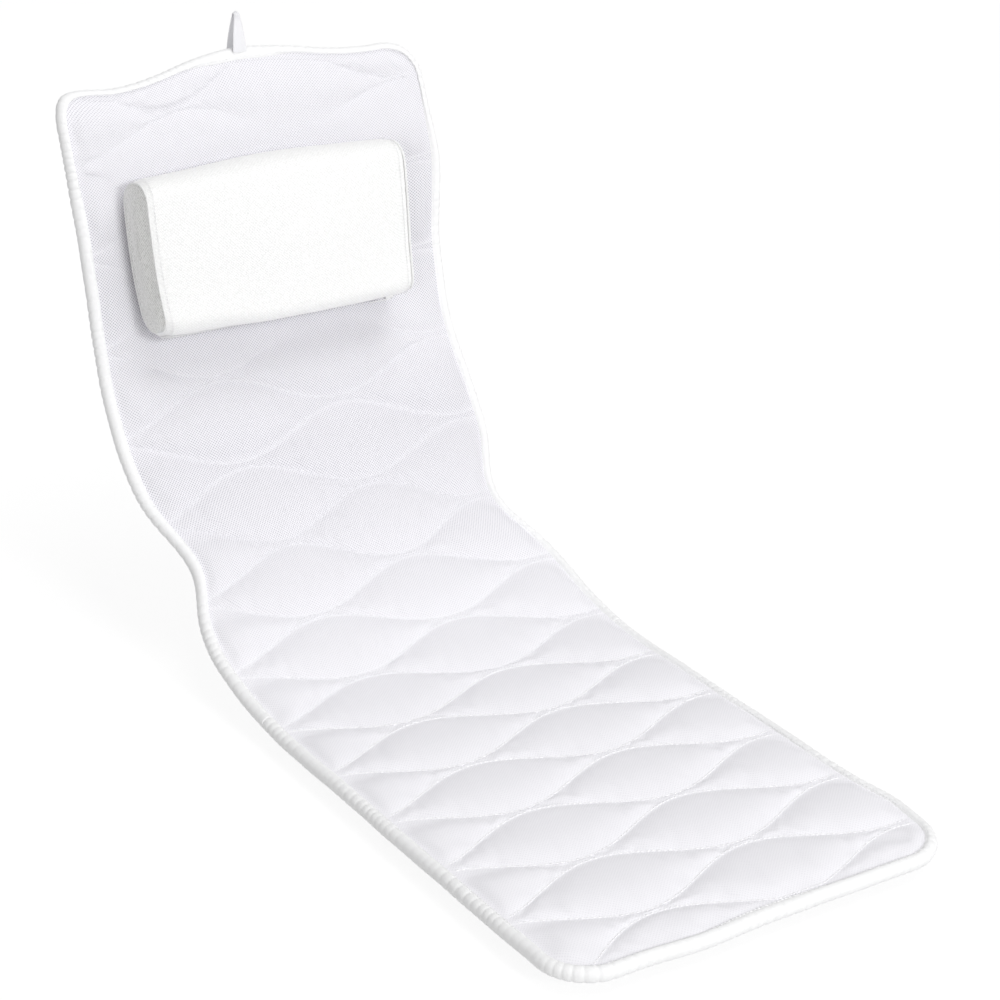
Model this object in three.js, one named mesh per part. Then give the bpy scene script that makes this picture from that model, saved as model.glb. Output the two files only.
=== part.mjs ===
// Bath pillow: a long quilted mesh mat with a boxed head pillow, in millimetres, +Z up.
// The mat lies on the bath floor, rises through a soft bend and leans on the bath's sloping end.
// Pieces are laid out on the flat mat as (x, s, h) and then carried onto the curved profile:
// x runs across, s runs from the foot edge to the head edge, h is height above the underside.
import * as THREE from 'three';
import { mergeVertices } from 'three/addons/utils/BufferGeometryUtils.js';

const rad = THREE.MathUtils.degToRad;
const clamp = THREE.MathUtils.clamp;
const lerp = THREE.MathUtils.lerp;

// Clearance left between neighbouring pieces
const GAP = 0.3;

// Mat outline, laid flat
const MAT_WIDTH = 400;
const MAT_LENGTH = 1200;
const CORNER_RADIUS = 48;

// Side profile of the mat's underside, from the foot: flat, rising arc, straight back, backward curl
const FLAT_RUN = 440;
const STRAIGHT_RUN = 108;
const CURL_RUN = 80;
const BACK_SLOPE = rad(78);
const CURL_ANGLE = rad(16);

// The sides draw in at the bend, and the head edge hangs lower on both sides of its middle
const BEND_FROM_FOOT = 699;
const WAIST_DEPTH = 26;
const WAIST_SPREAD = 57;
const HEAD_DROOP = 23;
const DROOP_RUN = 200;
const DROOP_FROM_MIDDLE = 154;

// Layers of the mat: backing, fill and mesh face, thinnest along the stitched channels
const BACKING_THICKNESS = 1.6;
const FILL_THICKNESS = 5.6;
const FACE_THICKNESS = 2.2;
const CROWN_HEIGHT = 8.5;
const EDGE_FLAT = 7;
const EDGE_RUN = 24;

// Leaf quilting: wavy stitch lines, each a mirror image of the next
const QUILT_PITCH = 46;
const QUILT_AMPLITUDE = 18;
const QUILT_WAVES = 1.5;
const QUILT_SHIFT = -18;
const FIRST_LINE_FROM_HEAD = 18.4;
const WAVE_FROM_BINDING = 7;
const LINE_FROM_BINDING = 2;

// Folded tape that binds the edge
const TAPE_THICKNESS = 1.8;
const BINDING_LAP = 13;

// Where the foot panel folds, and how many quilt rows soften the bend
const FOOT_FOLD_FROM_FOOT = 335;
const BEND_ROWS = 2;

// Head pillow
const PILLOW_LENGTH = 282;
const PILLOW_HEIGHT = 168;
const PILLOW_FROM_HEAD = 101;
const PILLOW_OFFSET = -4;
const PILLOW_END_DEPTH = 50;
const PILLOW_MID_DEPTH = 58;
const PILLOW_FRONT_CROWN = 4;
const PILLOW_FRONT_RADIUS = 22;
const PILLOW_BACK_RADIUS = 12;
const PILLOW_END_EASE = 6;
const PILLOW_END_EASE_RUN = 25;
const COVER_THICKNESS = 1.2;
const PIPING_DIAMETER = 5;
const PIPING_SIDES = 6;
const PRESSED_DEPTH = 2;
const SEAT_CLEARANCE = 0.95;
const PRESS_MARGIN = 40;

// Zip along the pillow's lower side
const ZIP_LOW = 13;
const ZIP_WIDTH = 14;
const ZIP_RIDGE_WIDTH = 3;
const ZIP_RIDGE_HEIGHT = 1.5;
const SLIDER_LENGTH = 10;
const SLIDER_WALL = 1.4;
const SLIDER_FROM_END = 24;
const PULL_LENGTH = 22;
const PULL_WIDTH = 5;
const PULL_THICKNESS = 1.2;

// Hook and loop strips between pillow and mat
const STRIP_LENGTH = 230;
const STRIP_WIDTH = 25;
const STRIP_THICKNESS = 1.5;
const STRIP_SPACING = 96;

// Hanging loop of folded ribbon at the middle of the head edge, pinched towards its tip
const RIBBON_WIDTH = 12.5;
const RIBBON_THICKNESS = 0.9;
const LOOP_HEIGHT = 38;
const LOOP_TIP_RADIUS = 2.4;
const LOOP_TIP_WIDTH = 6.5;
const LOOP_TIP_STEPS = 3;
const LOOP_SPREAD = rad(60);

// Suction cups, each buttoned through a sewn patch
const CUP_RADIUS = 19;
const CUP_HEIGHT = 9;
const CUP_LIP_WIDTH = 2.5;
const CUP_LIP_THICKNESS = 0.8;
const CUP_HOLLOW = 4;
const CUP_NECK_RADIUS = 4;
const CUP_HEAD_RADIUS = 7.5;
const CUP_HEAD_THICKNESS = 2.6;
const CUP_FROM_SIDE = 60;
const FOOT_CUP_ROWS = [62, 250];
const SEAT_CUP_ROWS = [415, 585];
const BACK_CUP_ROWS_FROM_HEAD = [370, 115];
const PATCH_RADIUS = 17;
const PATCH_THICKNESS = 1.2;
const ROUND_STEPS = 8;

// Heights and widths that follow from the sizes above
const CHANNEL_TOP = BACKING_THICKNESS + FILL_THICKNESS + FACE_THICKNESS + 2 * GAP;
const CROWN_TOP = CHANNEL_TOP + CROWN_HEIGHT;
const PRESSED_TOP = CHANNEL_TOP + PRESSED_DEPTH;
const INNER_WIDTH = MAT_WIDTH - 2 * BINDING_LAP;
const BINDING_HIGH = CHANNEL_TOP + GAP + TAPE_THICKNESS;
const BINDING_LOW = -GAP - TAPE_THICKNESS;
const ROLL_RADIUS = (BINDING_HIGH - BINDING_LOW) / 2;
const ROLL_MIDDLE = (BINDING_HIGH + BINDING_LOW) / 2;
const POCKET_HALF = ROLL_RADIUS - TAPE_THICKNESS;
const POCKET_INSET = ROLL_RADIUS - Math.sqrt(ROLL_RADIUS ** 2 - (POCKET_HALF + TAPE_THICKNESS / 3) ** 2);
const PAD_INSET = POCKET_INSET + 2 * GAP;
const LAST_LINE = Math.floor((MAT_LENGTH - FIRST_LINE_FROM_HEAD - BINDING_LAP) / QUILT_PITCH);

// A point on the underside of the curved mat, with the slope there
function profile(s) {
  const curlStart = MAT_LENGTH - CURL_RUN;
  const riseEnd = curlStart - STRAIGHT_RUN;
  const riseRadius = (riseEnd - FLAT_RUN) / BACK_SLOPE;
  if (s <= FLAT_RUN) {
    return { y: s, z: 0, slope: 0 };
  }
  const turn = Math.min((s - FLAT_RUN) / riseRadius, BACK_SLOPE);
  const straight = clamp(s - riseEnd, 0, STRAIGHT_RUN);
  const curlRadius = CURL_RUN / CURL_ANGLE;
  const slope = turn - Math.max(0, s - curlStart) / curlRadius;
  const y = FLAT_RUN + riseRadius * Math.sin(turn) + straight * Math.cos(BACK_SLOPE);
  const z = riseRadius * (1 - Math.cos(turn)) + straight * Math.sin(BACK_SLOPE);
  return {
    y: y + curlRadius * (Math.sin(turn) - Math.sin(slope)),
    z: z + curlRadius * (Math.cos(slope) - Math.cos(turn)),
    slope,
  };
}

// Carries a point of the flat mat onto the curved one, with the waist and the drooping head edge
function place(x, s, h) {
  const pinch = WAIST_DEPTH * Math.exp(-(((s - BEND_FROM_FOOT) / WAIST_SPREAD) ** 2));
  const drooping = Math.max(0, (s - MAT_LENGTH + DROOP_RUN) / DROOP_RUN);
  const across = x / (MAT_WIDTH / 2);
  const sag = drooping * Math.sin((Math.PI / 2) * (x / DROOP_FROM_MIDDLE));
  const { y, z, slope } = profile(s - HEAD_DROOP * sag ** 2);
  return new THREE.Vector3(x - pinch * across, y - h * Math.sin(slope), z + h * Math.cos(slope));
}

// Frame standing on the underside: X across, Y along the mat, Z out of its upper face
function frameAt(x, s, h) {
  const { slope } = profile(s);
  const turn = new THREE.Matrix4().makeRotationX(slope);
  return new THREE.Matrix4().setPosition(place(x, s, h)).multiply(turn);
}

// Collects triangles and turns them into one closed geometry that faces outwards
class Solid {
  constructor() {
    this.points = [];
  }

  triangle(a, b, c) {
    this.points.push(a, b, c);
  }

  // Joins two lines of points, which may differ in count, with a strip of triangles
  strip(a, b, flipped = false) {
    const start = this.points.length;
    let i = 0;
    let j = 0;
    while (i < a.length - 1 || j < b.length - 1) {
      const stepA = (i + 1) / (a.length - 1 || 1);
      const stepB = (j + 1) / (b.length - 1 || 1);
      if (j >= b.length - 1 || (i < a.length - 1 && stepA <= stepB)) {
        this.triangle(a[i], a[i + 1], b[j]);
        i += 1;
      } else {
        this.triangle(a[i], b[j + 1], b[j]);
        j += 1;
      }
    }
    if (flipped) {
      this.points.push(...this.points.splice(start).reverse());
    }
  }

  fan(ring, middle) {
    ring.forEach((point, i) => this.triangle(point, ring[(i + 1) % ring.length], middle));
  }

  geometry() {
    let volume = 0;
    for (let i = 0; i < this.points.length; i += 3) {
      const [a, b, c] = this.points.slice(i, i + 3);
      volume += a.dot(b.clone().cross(c));
    }
    const ordered = volume < 0 ? this.points.reverse() : this.points;
    return mergeVertices(new THREE.BufferGeometry().setFromPoints(ordered), 1e-4);
  }
}

// Closed sheet between an upper and a lower grid of points, each a list of rows
function slab(upper, lower) {
  const solid = new Solid();
  for (let i = 0; i < upper.length - 1; i += 1) {
    solid.strip(upper[i], upper[i + 1]);
    solid.strip(lower[i], lower[i + 1], true);
  }
  const firsts = (grid) => grid.map((row) => row[0]);
  const lasts = (grid) => grid.map((row) => row[row.length - 1]);
  solid.strip(firsts(upper), firsts(lower));
  solid.strip(lasts(lower), lasts(upper));
  solid.strip(lower[0], upper[0]);
  solid.strip(upper[upper.length - 1], lower[lower.length - 1]);
  return solid.geometry();
}

const middleOf = (ring) => ring
  .reduce((sum, point) => sum.add(point), new THREE.Vector3())
  .divideScalar(ring.length);

// Closed body through a row of rings; the ends are capped, or joined to each other
function loft(rings, joined = false) {
  const solid = new Solid();
  const around = (ring) => [...ring, ring[0]];
  const last = rings.length - 1;
  for (let i = 0; i < last; i += 1) {
    solid.strip(around(rings[i]), around(rings[i + 1]));
  }
  if (joined) {
    solid.strip(around(rings[last]), around(rings[0]));
  } else {
    solid.fan([...rings[0]].reverse(), middleOf(rings[0]));
    solid.fan(rings[last], middleOf(rings[last]));
  }
  return solid.geometry();
}

// Rings of a turned piece: radius and height pairs about the frame's Z axis
function turnedRings(pairs, frame) {
  return pairs.map(([radius, height]) => Array.from({ length: ROUND_STEPS }, (_, i) => {
    const angle = (2 * Math.PI * i) / ROUND_STEPS;
    const point = new THREE.Vector3(radius * Math.cos(angle), radius * Math.sin(angle), height);
    return point.applyMatrix4(frame);
  }));
}

// Wavy stitch line k, counted from the head; the lines past both ends are the pad's own edges
function lineAt(k, x) {
  if (k < 0) {
    return MAT_LENGTH - PAD_INSET;
  }
  if (k > LAST_LINE) {
    return PAD_INSET;
  }
  const phase = (2 * Math.PI * QUILT_WAVES * (x - QUILT_SHIFT + INNER_WIDTH / 2)) / INNER_WIDTH;
  const swing = QUILT_AMPLITUDE * Math.cos(phase) * (k % 2 === 0 ? 1 : -1);
  const middle = MAT_LENGTH - FIRST_LINE_FROM_HEAD - k * QUILT_PITCH;
  const reach = BINDING_LAP + LINE_FROM_BINDING;
  return clamp(middle + swing, reach, MAT_LENGTH - reach);
}

// Place along the mat of quilt row u, where whole numbers are stitch lines
function rowAt(u, x) {
  const k = Math.floor(u);
  return lerp(lineAt(k, x), lineAt(k + 1, x), u - k);
}

// The same row drawn straight across, as it runs under the binding
function straightRowAt(u) {
  const crossing = (k) => (lineAt(k, 0) + lineAt(k, INNER_WIDTH / QUILT_WAVES / 2)) / 2;
  const k = Math.floor(u);
  return lerp(crossing(k), crossing(k + 1), u - k);
}

// How far a point of the flat mat lies in from the mat's rounded outline
function inwardOf(x, s) {
  const fromSide = MAT_WIDTH / 2 - Math.abs(x);
  const fromEnd = Math.min(s, MAT_LENGTH - s);
  const dx = CORNER_RADIUS - fromSide;
  const ds = CORNER_RADIUS - fromEnd;
  if (dx > 0 && ds > 0) {
    return CORNER_RADIUS - Math.hypot(dx, ds);
  }
  return Math.min(fromSide, fromEnd);
}

// Draws x in towards the middle where the outline's corners are round
function roundedX(x, s) {
  const fromEnd = Math.min(s, MAT_LENGTH - s);
  const full = MAT_WIDTH / 2 - PAD_INSET;
  const radius = CORNER_RADIUS - PAD_INSET;
  const over = clamp(CORNER_RADIUS - fromEnd, 0, radius);
  return (x * (full - radius + Math.sqrt(radius ** 2 - over ** 2))) / full;
}

// Height of the quilted face: channels on the lines, crowns between them, pressed under the pillow
function faceTop(u, x, s) {
  const k = Math.floor(u);
  const t = u - k;
  const span = (lineAt(k, x) - lineAt(k + 1, x)) / (QUILT_PITCH + 2 * QUILT_AMPLITUDE);
  const bulge = Math.max(0, 4 * t * (1 - t) * span) ** 0.6;
  const pastBinding = inwardOf(x, s) - BINDING_LAP - EDGE_FLAT;
  const fade = THREE.MathUtils.smoothstep(pastBinding, 0, EDGE_RUN);
  const top = CHANNEL_TOP + CROWN_HEIGHT * bulge * fade;
  const besidePillow = Math.abs(x - PILLOW_OFFSET) - PILLOW_LENGTH / 2;
  const pastPillow = Math.abs(s - PILLOW_MIDDLE) - PILLOW_HEIGHT / 2;
  const pressed = Math.max(besidePillow, pastPillow) < PRESS_MARGIN;
  return pressed ? Math.min(top, PRESSED_TOP) : top;
}

const PILLOW_MIDDLE = MAT_LENGTH - PILLOW_FROM_HEAD - PILLOW_HEIGHT / 2;

// Quilt rows of one zone, from its foot side to its head side
const ROW_STEPS = [0, 0.22, 0.78];
const END_STEPS = [0, 0.2, 0.45, 0.7, 0.88];
function zoneRows(footU, headU) {
  const rows = [];
  for (let k = -1; k <= LAST_LINE; k += 1) {
    const steps = k === LAST_LINE ? END_STEPS : ROW_STEPS;
    steps.forEach((step) => rows.push(k + (k < 0 && step > 0 ? 1 - step : step)));
  }
  END_STEPS.slice(1).forEach((step) => rows.push(-step));
  const inside = rows.filter((u) => u < footU - 0.01 && u > headU + 0.01);
  const sorted = [...new Set(inside)].sort((a, b) => b - a);
  return [footU, ...sorted, headU].map((u) => {
    const cutFoot = u === footU && footU <= LAST_LINE ? GAP / 2 : 0;
    const cutHead = u === headU && headU >= 0 ? -GAP / 2 : 0;
    return { u, shift: cutFoot + cutHead };
  });
}

// Columns across the mat: two under each binding, then six steps to each wave
const COLUMN_STEPS = Math.round(6 * QUILT_WAVES);
const EDGE_X = MAT_WIDTH / 2 - PAD_INSET;
const LAP_X = INNER_WIDTH / 2;
const WAVE_X = LAP_X - WAVE_FROM_BINDING;
const columns = [-EDGE_X, -LAP_X, -WAVE_X];
for (let j = 1; j < COLUMN_STEPS; j += 1) {
  columns.push(-LAP_X + (INNER_WIDTH * j) / COLUMN_STEPS);
}
columns.push(WAVE_X, LAP_X, EDGE_X);

// Grid of points at a height below the quilted face
function quiltGrid(rows, depth) {
  return rows.map(({ u, shift }) => columns.map((x) => {
    const underBinding = Math.abs(x) > (LAP_X + WAVE_X) / 2;
    const s = (underBinding ? straightRowAt(u) : rowAt(u, x)) + shift;
    const drawn = roundedX(x, s);
    return place(drawn, s, faceTop(u, drawn, s) - depth);
  }));
}

// Grid at one height: two side points to a row, and all the columns where the head edge droops
function plainGrid(rows, height) {
  return rows.map(({ u, shift }) => {
    const s = straightRowAt(u) + shift;
    const across = s > MAT_LENGTH - DROOP_RUN / 2 ? columns : [-EDGE_X, EDGE_X];
    return across.map((x) => place(roundedX(x, s), s, height));
  });
}

// Section of the binding as inward distance and height: outside round the roll, and pocket inside
const ROLL_STEPS = 4;
const bindingOutside = [[BINDING_LAP, BINDING_LOW]];
for (let i = 0; i <= ROLL_STEPS; i += 1) {
  const angle = (Math.PI * i) / ROLL_STEPS;
  const inward = ROLL_RADIUS - ROLL_RADIUS * Math.sin(angle);
  bindingOutside.push([inward, ROLL_MIDDLE - ROLL_RADIUS * Math.cos(angle)]);
}
bindingOutside.push([BINDING_LAP, BINDING_HIGH]);
const bindingInside = [
  [BINDING_LAP, BINDING_LOW + TAPE_THICKNESS],
  [POCKET_INSET, BINDING_LOW + TAPE_THICKNESS],
  [POCKET_INSET, BINDING_HIGH - TAPE_THICKNESS],
  [BINDING_LAP, BINDING_HIGH - TAPE_THICKNESS],
];

// Stations along the bound edge: a point of the outline and the inward direction there
function sideStations(side, rows) {
  return rows.map(({ u, shift }) => ({
    x: (side * MAT_WIDTH) / 2,
    s: straightRowAt(u) + shift,
    dx: -side,
    ds: 0,
  }));
}

const CORNER_STEPS = 6;
function cornerStations(side, atHead, fromAngle) {
  const middleX = side * (MAT_WIDTH / 2 - CORNER_RADIUS);
  const middleS = atHead ? MAT_LENGTH - CORNER_RADIUS : CORNER_RADIUS;
  return Array.from({ length: CORNER_STEPS + 1 }, (_, i) => {
    const angle = fromAngle + (Math.PI / 2) * (i / CORNER_STEPS);
    const dx = -Math.cos(angle);
    const ds = -Math.sin(angle);
    return { x: middleX - CORNER_RADIUS * dx, s: middleS - CORNER_RADIUS * ds, dx, ds };
  });
}

// The drooping head edge is followed between its corners in the pad's own steps
function headStations() {
  const reach = MAT_WIDTH / 2 - CORNER_RADIUS;
  const inner = columns.slice(3, -3).map((x) => (x * reach) / EDGE_X);
  return inner.reverse().map((x) => ({ x, s: MAT_LENGTH, dx: 0, ds: -1 }));
}

// Drops stations that lie on the straight line between those kept beside them
function thinned(stations) {
  const at = (station) => place(station.x, station.s, 0);
  return stations.filter((station, i) => {
    const before = stations[i - 1];
    const after = stations[i + 1];
    if (!before || !after || before.dx !== after.dx) {
      return true;
    }
    const chord = new THREE.Line3(at(before), at(after));
    const nearest = chord.closestPointToPoint(at(station), true, new THREE.Vector3());
    return nearest.distanceTo(at(station)) > 0.004;
  });
}

function binding(stations) {
  const grid = (section) => thinned(stations).map(({ x, s, dx, ds }) => section
    .map(([inward, height]) => place(x + dx * inward, s + ds * inward, height)));
  return slab(grid(bindingOutside), grid(bindingInside));
}

// Pillow section at a station x, set in by an offset: the wrapped panel, and the back panel
const STRIP_SEAT = PRESSED_TOP + SEAT_CLEARANCE;
const PILLOW_BASE = STRIP_SEAT + 2 * STRIP_THICKNESS + 2 * GAP;
const ARC_STEPS = 4;
function arc(middle, radius, fromAngle, steps) {
  return Array.from({ length: steps + 1 }, (_, i) => {
    const angle = fromAngle - (Math.PI / 2) * (i / steps);
    return [middle[0] + radius * Math.cos(angle), middle[1] + radius * Math.sin(angle)];
  });
}

function pillowSection(x, offset) {
  const endRun = clamp((Math.abs(x) - PILLOW_LENGTH / 2) / PILLOW_END_EASE_RUN + 1, 0, 1);
  const ease = PILLOW_END_EASE * (1 - Math.sqrt(1 - endRun ** 2));
  const half = PILLOW_HEIGHT / 2 - ease - offset;
  const dome = 1 - ((2 * x) / PILLOW_LENGTH) ** 2;
  const depth = lerp(PILLOW_END_DEPTH, PILLOW_MID_DEPTH, dome);
  const front = PILLOW_BASE + depth - offset;
  const back = PILLOW_BASE + offset;
  const frontRadius = PILLOW_FRONT_RADIUS - offset;
  const backRadius = PILLOW_BACK_RADIUS - Math.min(offset, PILLOW_BACK_RADIUS / 2);
  const flat = half - frontRadius;
  const crown = [-0.5, 0, 0.5].map((f) => [f * flat, front + PILLOW_FRONT_CROWN * dome * (1 - f * f)]);
  const wrap = [
    [-half, PILLOW_BASE + ZIP_LOW + ZIP_WIDTH],
    ...arc([-flat, front - frontRadius], frontRadius, Math.PI, ARC_STEPS),
    ...crown,
    ...arc([flat, front - frontRadius], frontRadius, Math.PI / 2, ARC_STEPS),
    ...arc([half - backRadius, back + backRadius], backRadius, 0, ARC_STEPS / 2),
  ];
  const seat = half - backRadius;
  const panel = [
    [seat - GAP, back],
    ...[0.67, 0.33, 0, -0.33, -0.67].map((f) => [f * seat, back]),
    ...arc([-seat, back + backRadius], backRadius, -Math.PI / 2, ARC_STEPS / 2),
    [-half, PILLOW_BASE + ZIP_LOW],
  ];
  return { wrap, panel, side: -half };
}

const onPillow = (x) => ([along, height]) => place(PILLOW_OFFSET + x, PILLOW_MIDDLE + along, height);

function pillowRing(x, offset) {
  const { wrap, panel } = pillowSection(x, offset);
  return [...wrap, ...panel.slice(1)].map(onPillow(x));
}

// Stations along the pillow, closer together where the ends are eased
const WRAP_END = PILLOW_LENGTH / 2 - PIPING_DIAMETER - 2 * GAP;
const EASE_START = PILLOW_LENGTH / 2 - PILLOW_END_EASE_RUN;
const EASE_MIDDLE = (EASE_START + WRAP_END) / 2;
const mirrored = (list) => [...list.map((x) => -x), 0, ...[...list].reverse()];
const coverStations = mirrored([WRAP_END, EASE_MIDDLE, EASE_START, PILLOW_LENGTH / 4]);

function coverPiece(part) {
  const grid = (offset) => coverStations.map((x) => part(pillowSection(x, offset)).map(onPillow(x)));
  return slab(grid(0), grid(COVER_THICKNESS));
}

function zipPoints({ side }, raised) {
  const low = PILLOW_BASE + ZIP_LOW + GAP;
  const high = PILLOW_BASE + ZIP_LOW + ZIP_WIDTH - GAP;
  const middle = (low + high) / 2;
  const edge = ZIP_RIDGE_WIDTH / 2;
  const ridge = [-edge, edge].map((d) => [side - ZIP_RIDGE_HEIGHT, middle + d]);
  return raised
    ? [[side, low], [side, middle - edge], ...ridge, [side, middle + edge], [side, high]]
    : [[side, low], [side, high]];
}

function zipTape() {
  const grid = (offset, raised) => coverStations
    .map((x) => zipPoints(pillowSection(x, offset), raised).map(onPillow(x)));
  return slab(grid(0, true), grid(COVER_THICKNESS, false));
}

function pillowCore() {
  const inside = COVER_THICKNESS + GAP;
  const pastPiping = PIPING_DIAMETER + 3 * GAP;
  const stations = mirrored([
    PILLOW_LENGTH / 2 - inside,
    WRAP_END,
    EASE_MIDDLE,
    EASE_START,
    PILLOW_LENGTH / 4,
  ]);
  return loft(stations.map((x) => {
    const nearEnd = Math.abs(x) > EASE_MIDDLE + GAP;
    return pillowRing(x, nearEnd ? pastPiping : inside);
  }));
}

function pillowEnd(side) {
  const inset = PIPING_DIAMETER + 2 * GAP;
  const outer = PILLOW_LENGTH / 2;
  return loft([outer - COVER_THICKNESS, outer].map((x) => pillowRing(side * x, inset)));
}

// Corded seam round each end, along the pillow's own section
function pillowPiping(side) {
  const radius = PIPING_DIAMETER / 2;
  const x = side * (PILLOW_LENGTH / 2 - radius - GAP);
  const path = pillowRing(x, radius + GAP);
  const count = path.length;
  const across = new THREE.Vector3(1, 0, 0);
  return loft(path.map((point, i) => {
    const along = path[(i + 1) % count].clone().sub(path[(i + count - 1) % count]).normalize();
    const out = along.cross(across);
    return Array.from({ length: PIPING_SIDES }, (_, j) => {
      const angle = (2 * Math.PI * j) / PIPING_SIDES;
      return point.clone()
        .addScaledVector(across, radius * Math.cos(angle))
        .addScaledVector(out, radius * Math.sin(angle));
    });
  }), true);
}

// Strip across the pillow, on the mat's face or on the pillow's back
function strip(along, low) {
  const ends = [-STRIP_LENGTH / 2, 0, STRIP_LENGTH / 2];
  const edges = [-STRIP_WIDTH / 2, 0, STRIP_WIDTH / 2];
  const grid = (height) => edges.map((edge) => ends
    .map((x) => place(PILLOW_OFFSET + x, PILLOW_MIDDLE + along + edge, height)));
  return slab(grid(low + STRIP_THICKNESS), grid(low));
}

// Frame of the zip's ridge: X along the zip, Y out of the pillow's lower side, Z away from the mat
const SLIDER_X = PILLOW_OFFSET + PILLOW_LENGTH / 2 - SLIDER_FROM_END;
const ZIP_MIDDLE = PILLOW_BASE + ZIP_LOW + ZIP_WIDTH / 2;
function sliderFrame() {
  const frame = frameAt(SLIDER_X, PILLOW_MIDDLE - PILLOW_HEIGHT / 2, ZIP_MIDDLE);
  return frame.multiply(new THREE.Matrix4().makeRotationX(Math.PI));
}

function zipSlider() {
  const frame = sliderFrame();
  const inner = ZIP_RIDGE_WIDTH / 2 + GAP;
  const outer = inner + SLIDER_WALL;
  const foot = 2 * GAP;
  const cover = ZIP_RIDGE_HEIGHT + GAP;
  const outside = [[-outer, foot], [-outer, cover + SLIDER_WALL], [outer, cover + SLIDER_WALL], [outer, foot]];
  const inside = [[-inner, foot], [-inner, cover], [inner, cover], [inner, foot]];
  const ends = [-SLIDER_LENGTH / 2, SLIDER_LENGTH / 2];
  const grid = (line) => ends.map((x) => line
    .map(([z, y]) => new THREE.Vector3(x, y, z).applyMatrix4(frame)));
  return slab(grid(outside), grid(inside));
}

const PULL_LIFT = ZIP_RIDGE_HEIGHT + SLIDER_WALL + 2 * GAP;
function zipPull() {
  const frame = sliderFrame();
  const ends = [-PULL_LENGTH, 0];
  const edges = [-PULL_WIDTH / 2, PULL_WIDTH / 2];
  const grid = (y) => ends.map((x) => edges
    .map((z) => new THREE.Vector3(x, y, z).applyMatrix4(frame)));
  return slab(grid(PULL_LIFT + PULL_THICKNESS), grid(PULL_LIFT));
}

// Frame on the axis of the rolled head edge, in which the loop stands upright along Y
const LOOP_AXIS_S = MAT_LENGTH - ROLL_RADIUS;
function loopFrame() {
  const upright = new THREE.Matrix4().makeRotationX(Math.PI / 2);
  return new THREE.Matrix4().setPosition(place(0, LOOP_AXIS_S, ROLL_MIDDLE)).multiply(upright);
}

// Ribbon loop over the rolled head edge, as height above the edge's axis and distance to its front
function hangingLoop() {
  const start = ROLL_RADIUS + GAP;
  const tip = LOOP_HEIGHT + ROLL_RADIUS - LOOP_TIP_RADIUS;
  const legFoot = [start * Math.sin(LOOP_SPREAD), start * Math.cos(LOOP_SPREAD)];
  const half = (radius, lean) => [
    [legFoot[0] + lean, legFoot[1]],
    ...Array.from({ length: LOOP_TIP_STEPS }, (_, i) => (Math.PI * i) / LOOP_TIP_STEPS / 2)
      .map((angle) => [radius * Math.cos(angle), tip + radius * Math.sin(angle)]),
  ];
  const line = (radius, lean) => {
    const right = half(radius, lean);
    const left = right.map(([h, t]) => [-h, t]).reverse();
    return [...right, [0, tip + radius], ...left];
  };
  const frame = loopFrame();
  const widthAt = (t) => lerp(RIBBON_WIDTH, LOOP_TIP_WIDTH, (t - legFoot[1]) / (tip - legFoot[1]));
  const grid = (points) => [-0.5, 0.5].map((side) => points
    .map(([h, t]) => new THREE.Vector3(side * widthAt(Math.min(t, tip)), t, h).applyMatrix4(frame)));
  return slab(
    grid(line(LOOP_TIP_RADIUS, RIBBON_THICKNESS)),
    grid(line(LOOP_TIP_RADIUS - RIBBON_THICKNESS, 0)),
  );
}

// Suction cup with a button head, neck and hollow lip, hanging below the mat
const HEAD_TOP = -2 * GAP;
const HEAD_BOTTOM = HEAD_TOP - CUP_HEAD_THICKNESS;
const PATCH_INSIDE = HEAD_BOTTOM - GAP;
const PATCH_OUTSIDE = PATCH_INSIDE - PATCH_THICKNESS;
const CUP_SHOULDER = PATCH_OUTSIDE - GAP;
const CUP_BOTTOM = CUP_SHOULDER - CUP_HEIGHT;
function suctionCup(x, s) {
  const pairs = [
    [CUP_HEAD_RADIUS, HEAD_TOP],
    [CUP_HEAD_RADIUS, HEAD_BOTTOM],
    [CUP_NECK_RADIUS, HEAD_BOTTOM],
    [CUP_NECK_RADIUS, CUP_SHOULDER],
    [CUP_RADIUS / 2, CUP_SHOULDER],
    [CUP_RADIUS, CUP_BOTTOM + CUP_LIP_THICKNESS],
    [CUP_RADIUS, CUP_BOTTOM],
    [CUP_RADIUS - CUP_LIP_WIDTH, CUP_BOTTOM],
    [CUP_NECK_RADIUS, CUP_BOTTOM + CUP_HOLLOW],
  ];
  return loft(turnedRings(pairs, frameAt(x, s, 0)));
}

function cupPatch(x, s) {
  const domeFoot = CUP_HEAD_RADIUS + PATCH_THICKNESS;
  const pairs = [
    [PATCH_RADIUS, -GAP],
    [PATCH_RADIUS, -GAP - PATCH_THICKNESS / 2],
    [domeFoot + PATCH_THICKNESS, PATCH_INSIDE],
    [CUP_NECK_RADIUS + GAP, PATCH_OUTSIDE],
    [CUP_NECK_RADIUS + GAP, PATCH_INSIDE],
    [CUP_HEAD_RADIUS + GAP, PATCH_INSIDE],
    [domeFoot, -GAP],
  ];
  return loft(turnedRings(pairs, frameAt(x, s, 0)), true);
}

// Finishes
const finish = (color, roughness) => new THREE.MeshStandardMaterial({ color, roughness });
const meshFabric = finish(0xf1f1f5, 0.85);
const wadding = finish(0xf4f3ee, 0.95);
const backingFabric = finish(0xf0f0f2, 0.9);
const tapeFabric = finish(0xf8f8f8, 0.8);
const pillowFabric = finish(0xfafaf8, 0.85);
const foam = finish(0xf3efdf, 0.95);
const ribbon = finish(0xf7f7fa, 0.5);
const zipPlastic = finish(0xf2f2f2, 0.5);
const hookNylon = finish(0xf0f0f0, 0.7);
const clearVinyl = finish(0xdfe6ea, 0.2);

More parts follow.
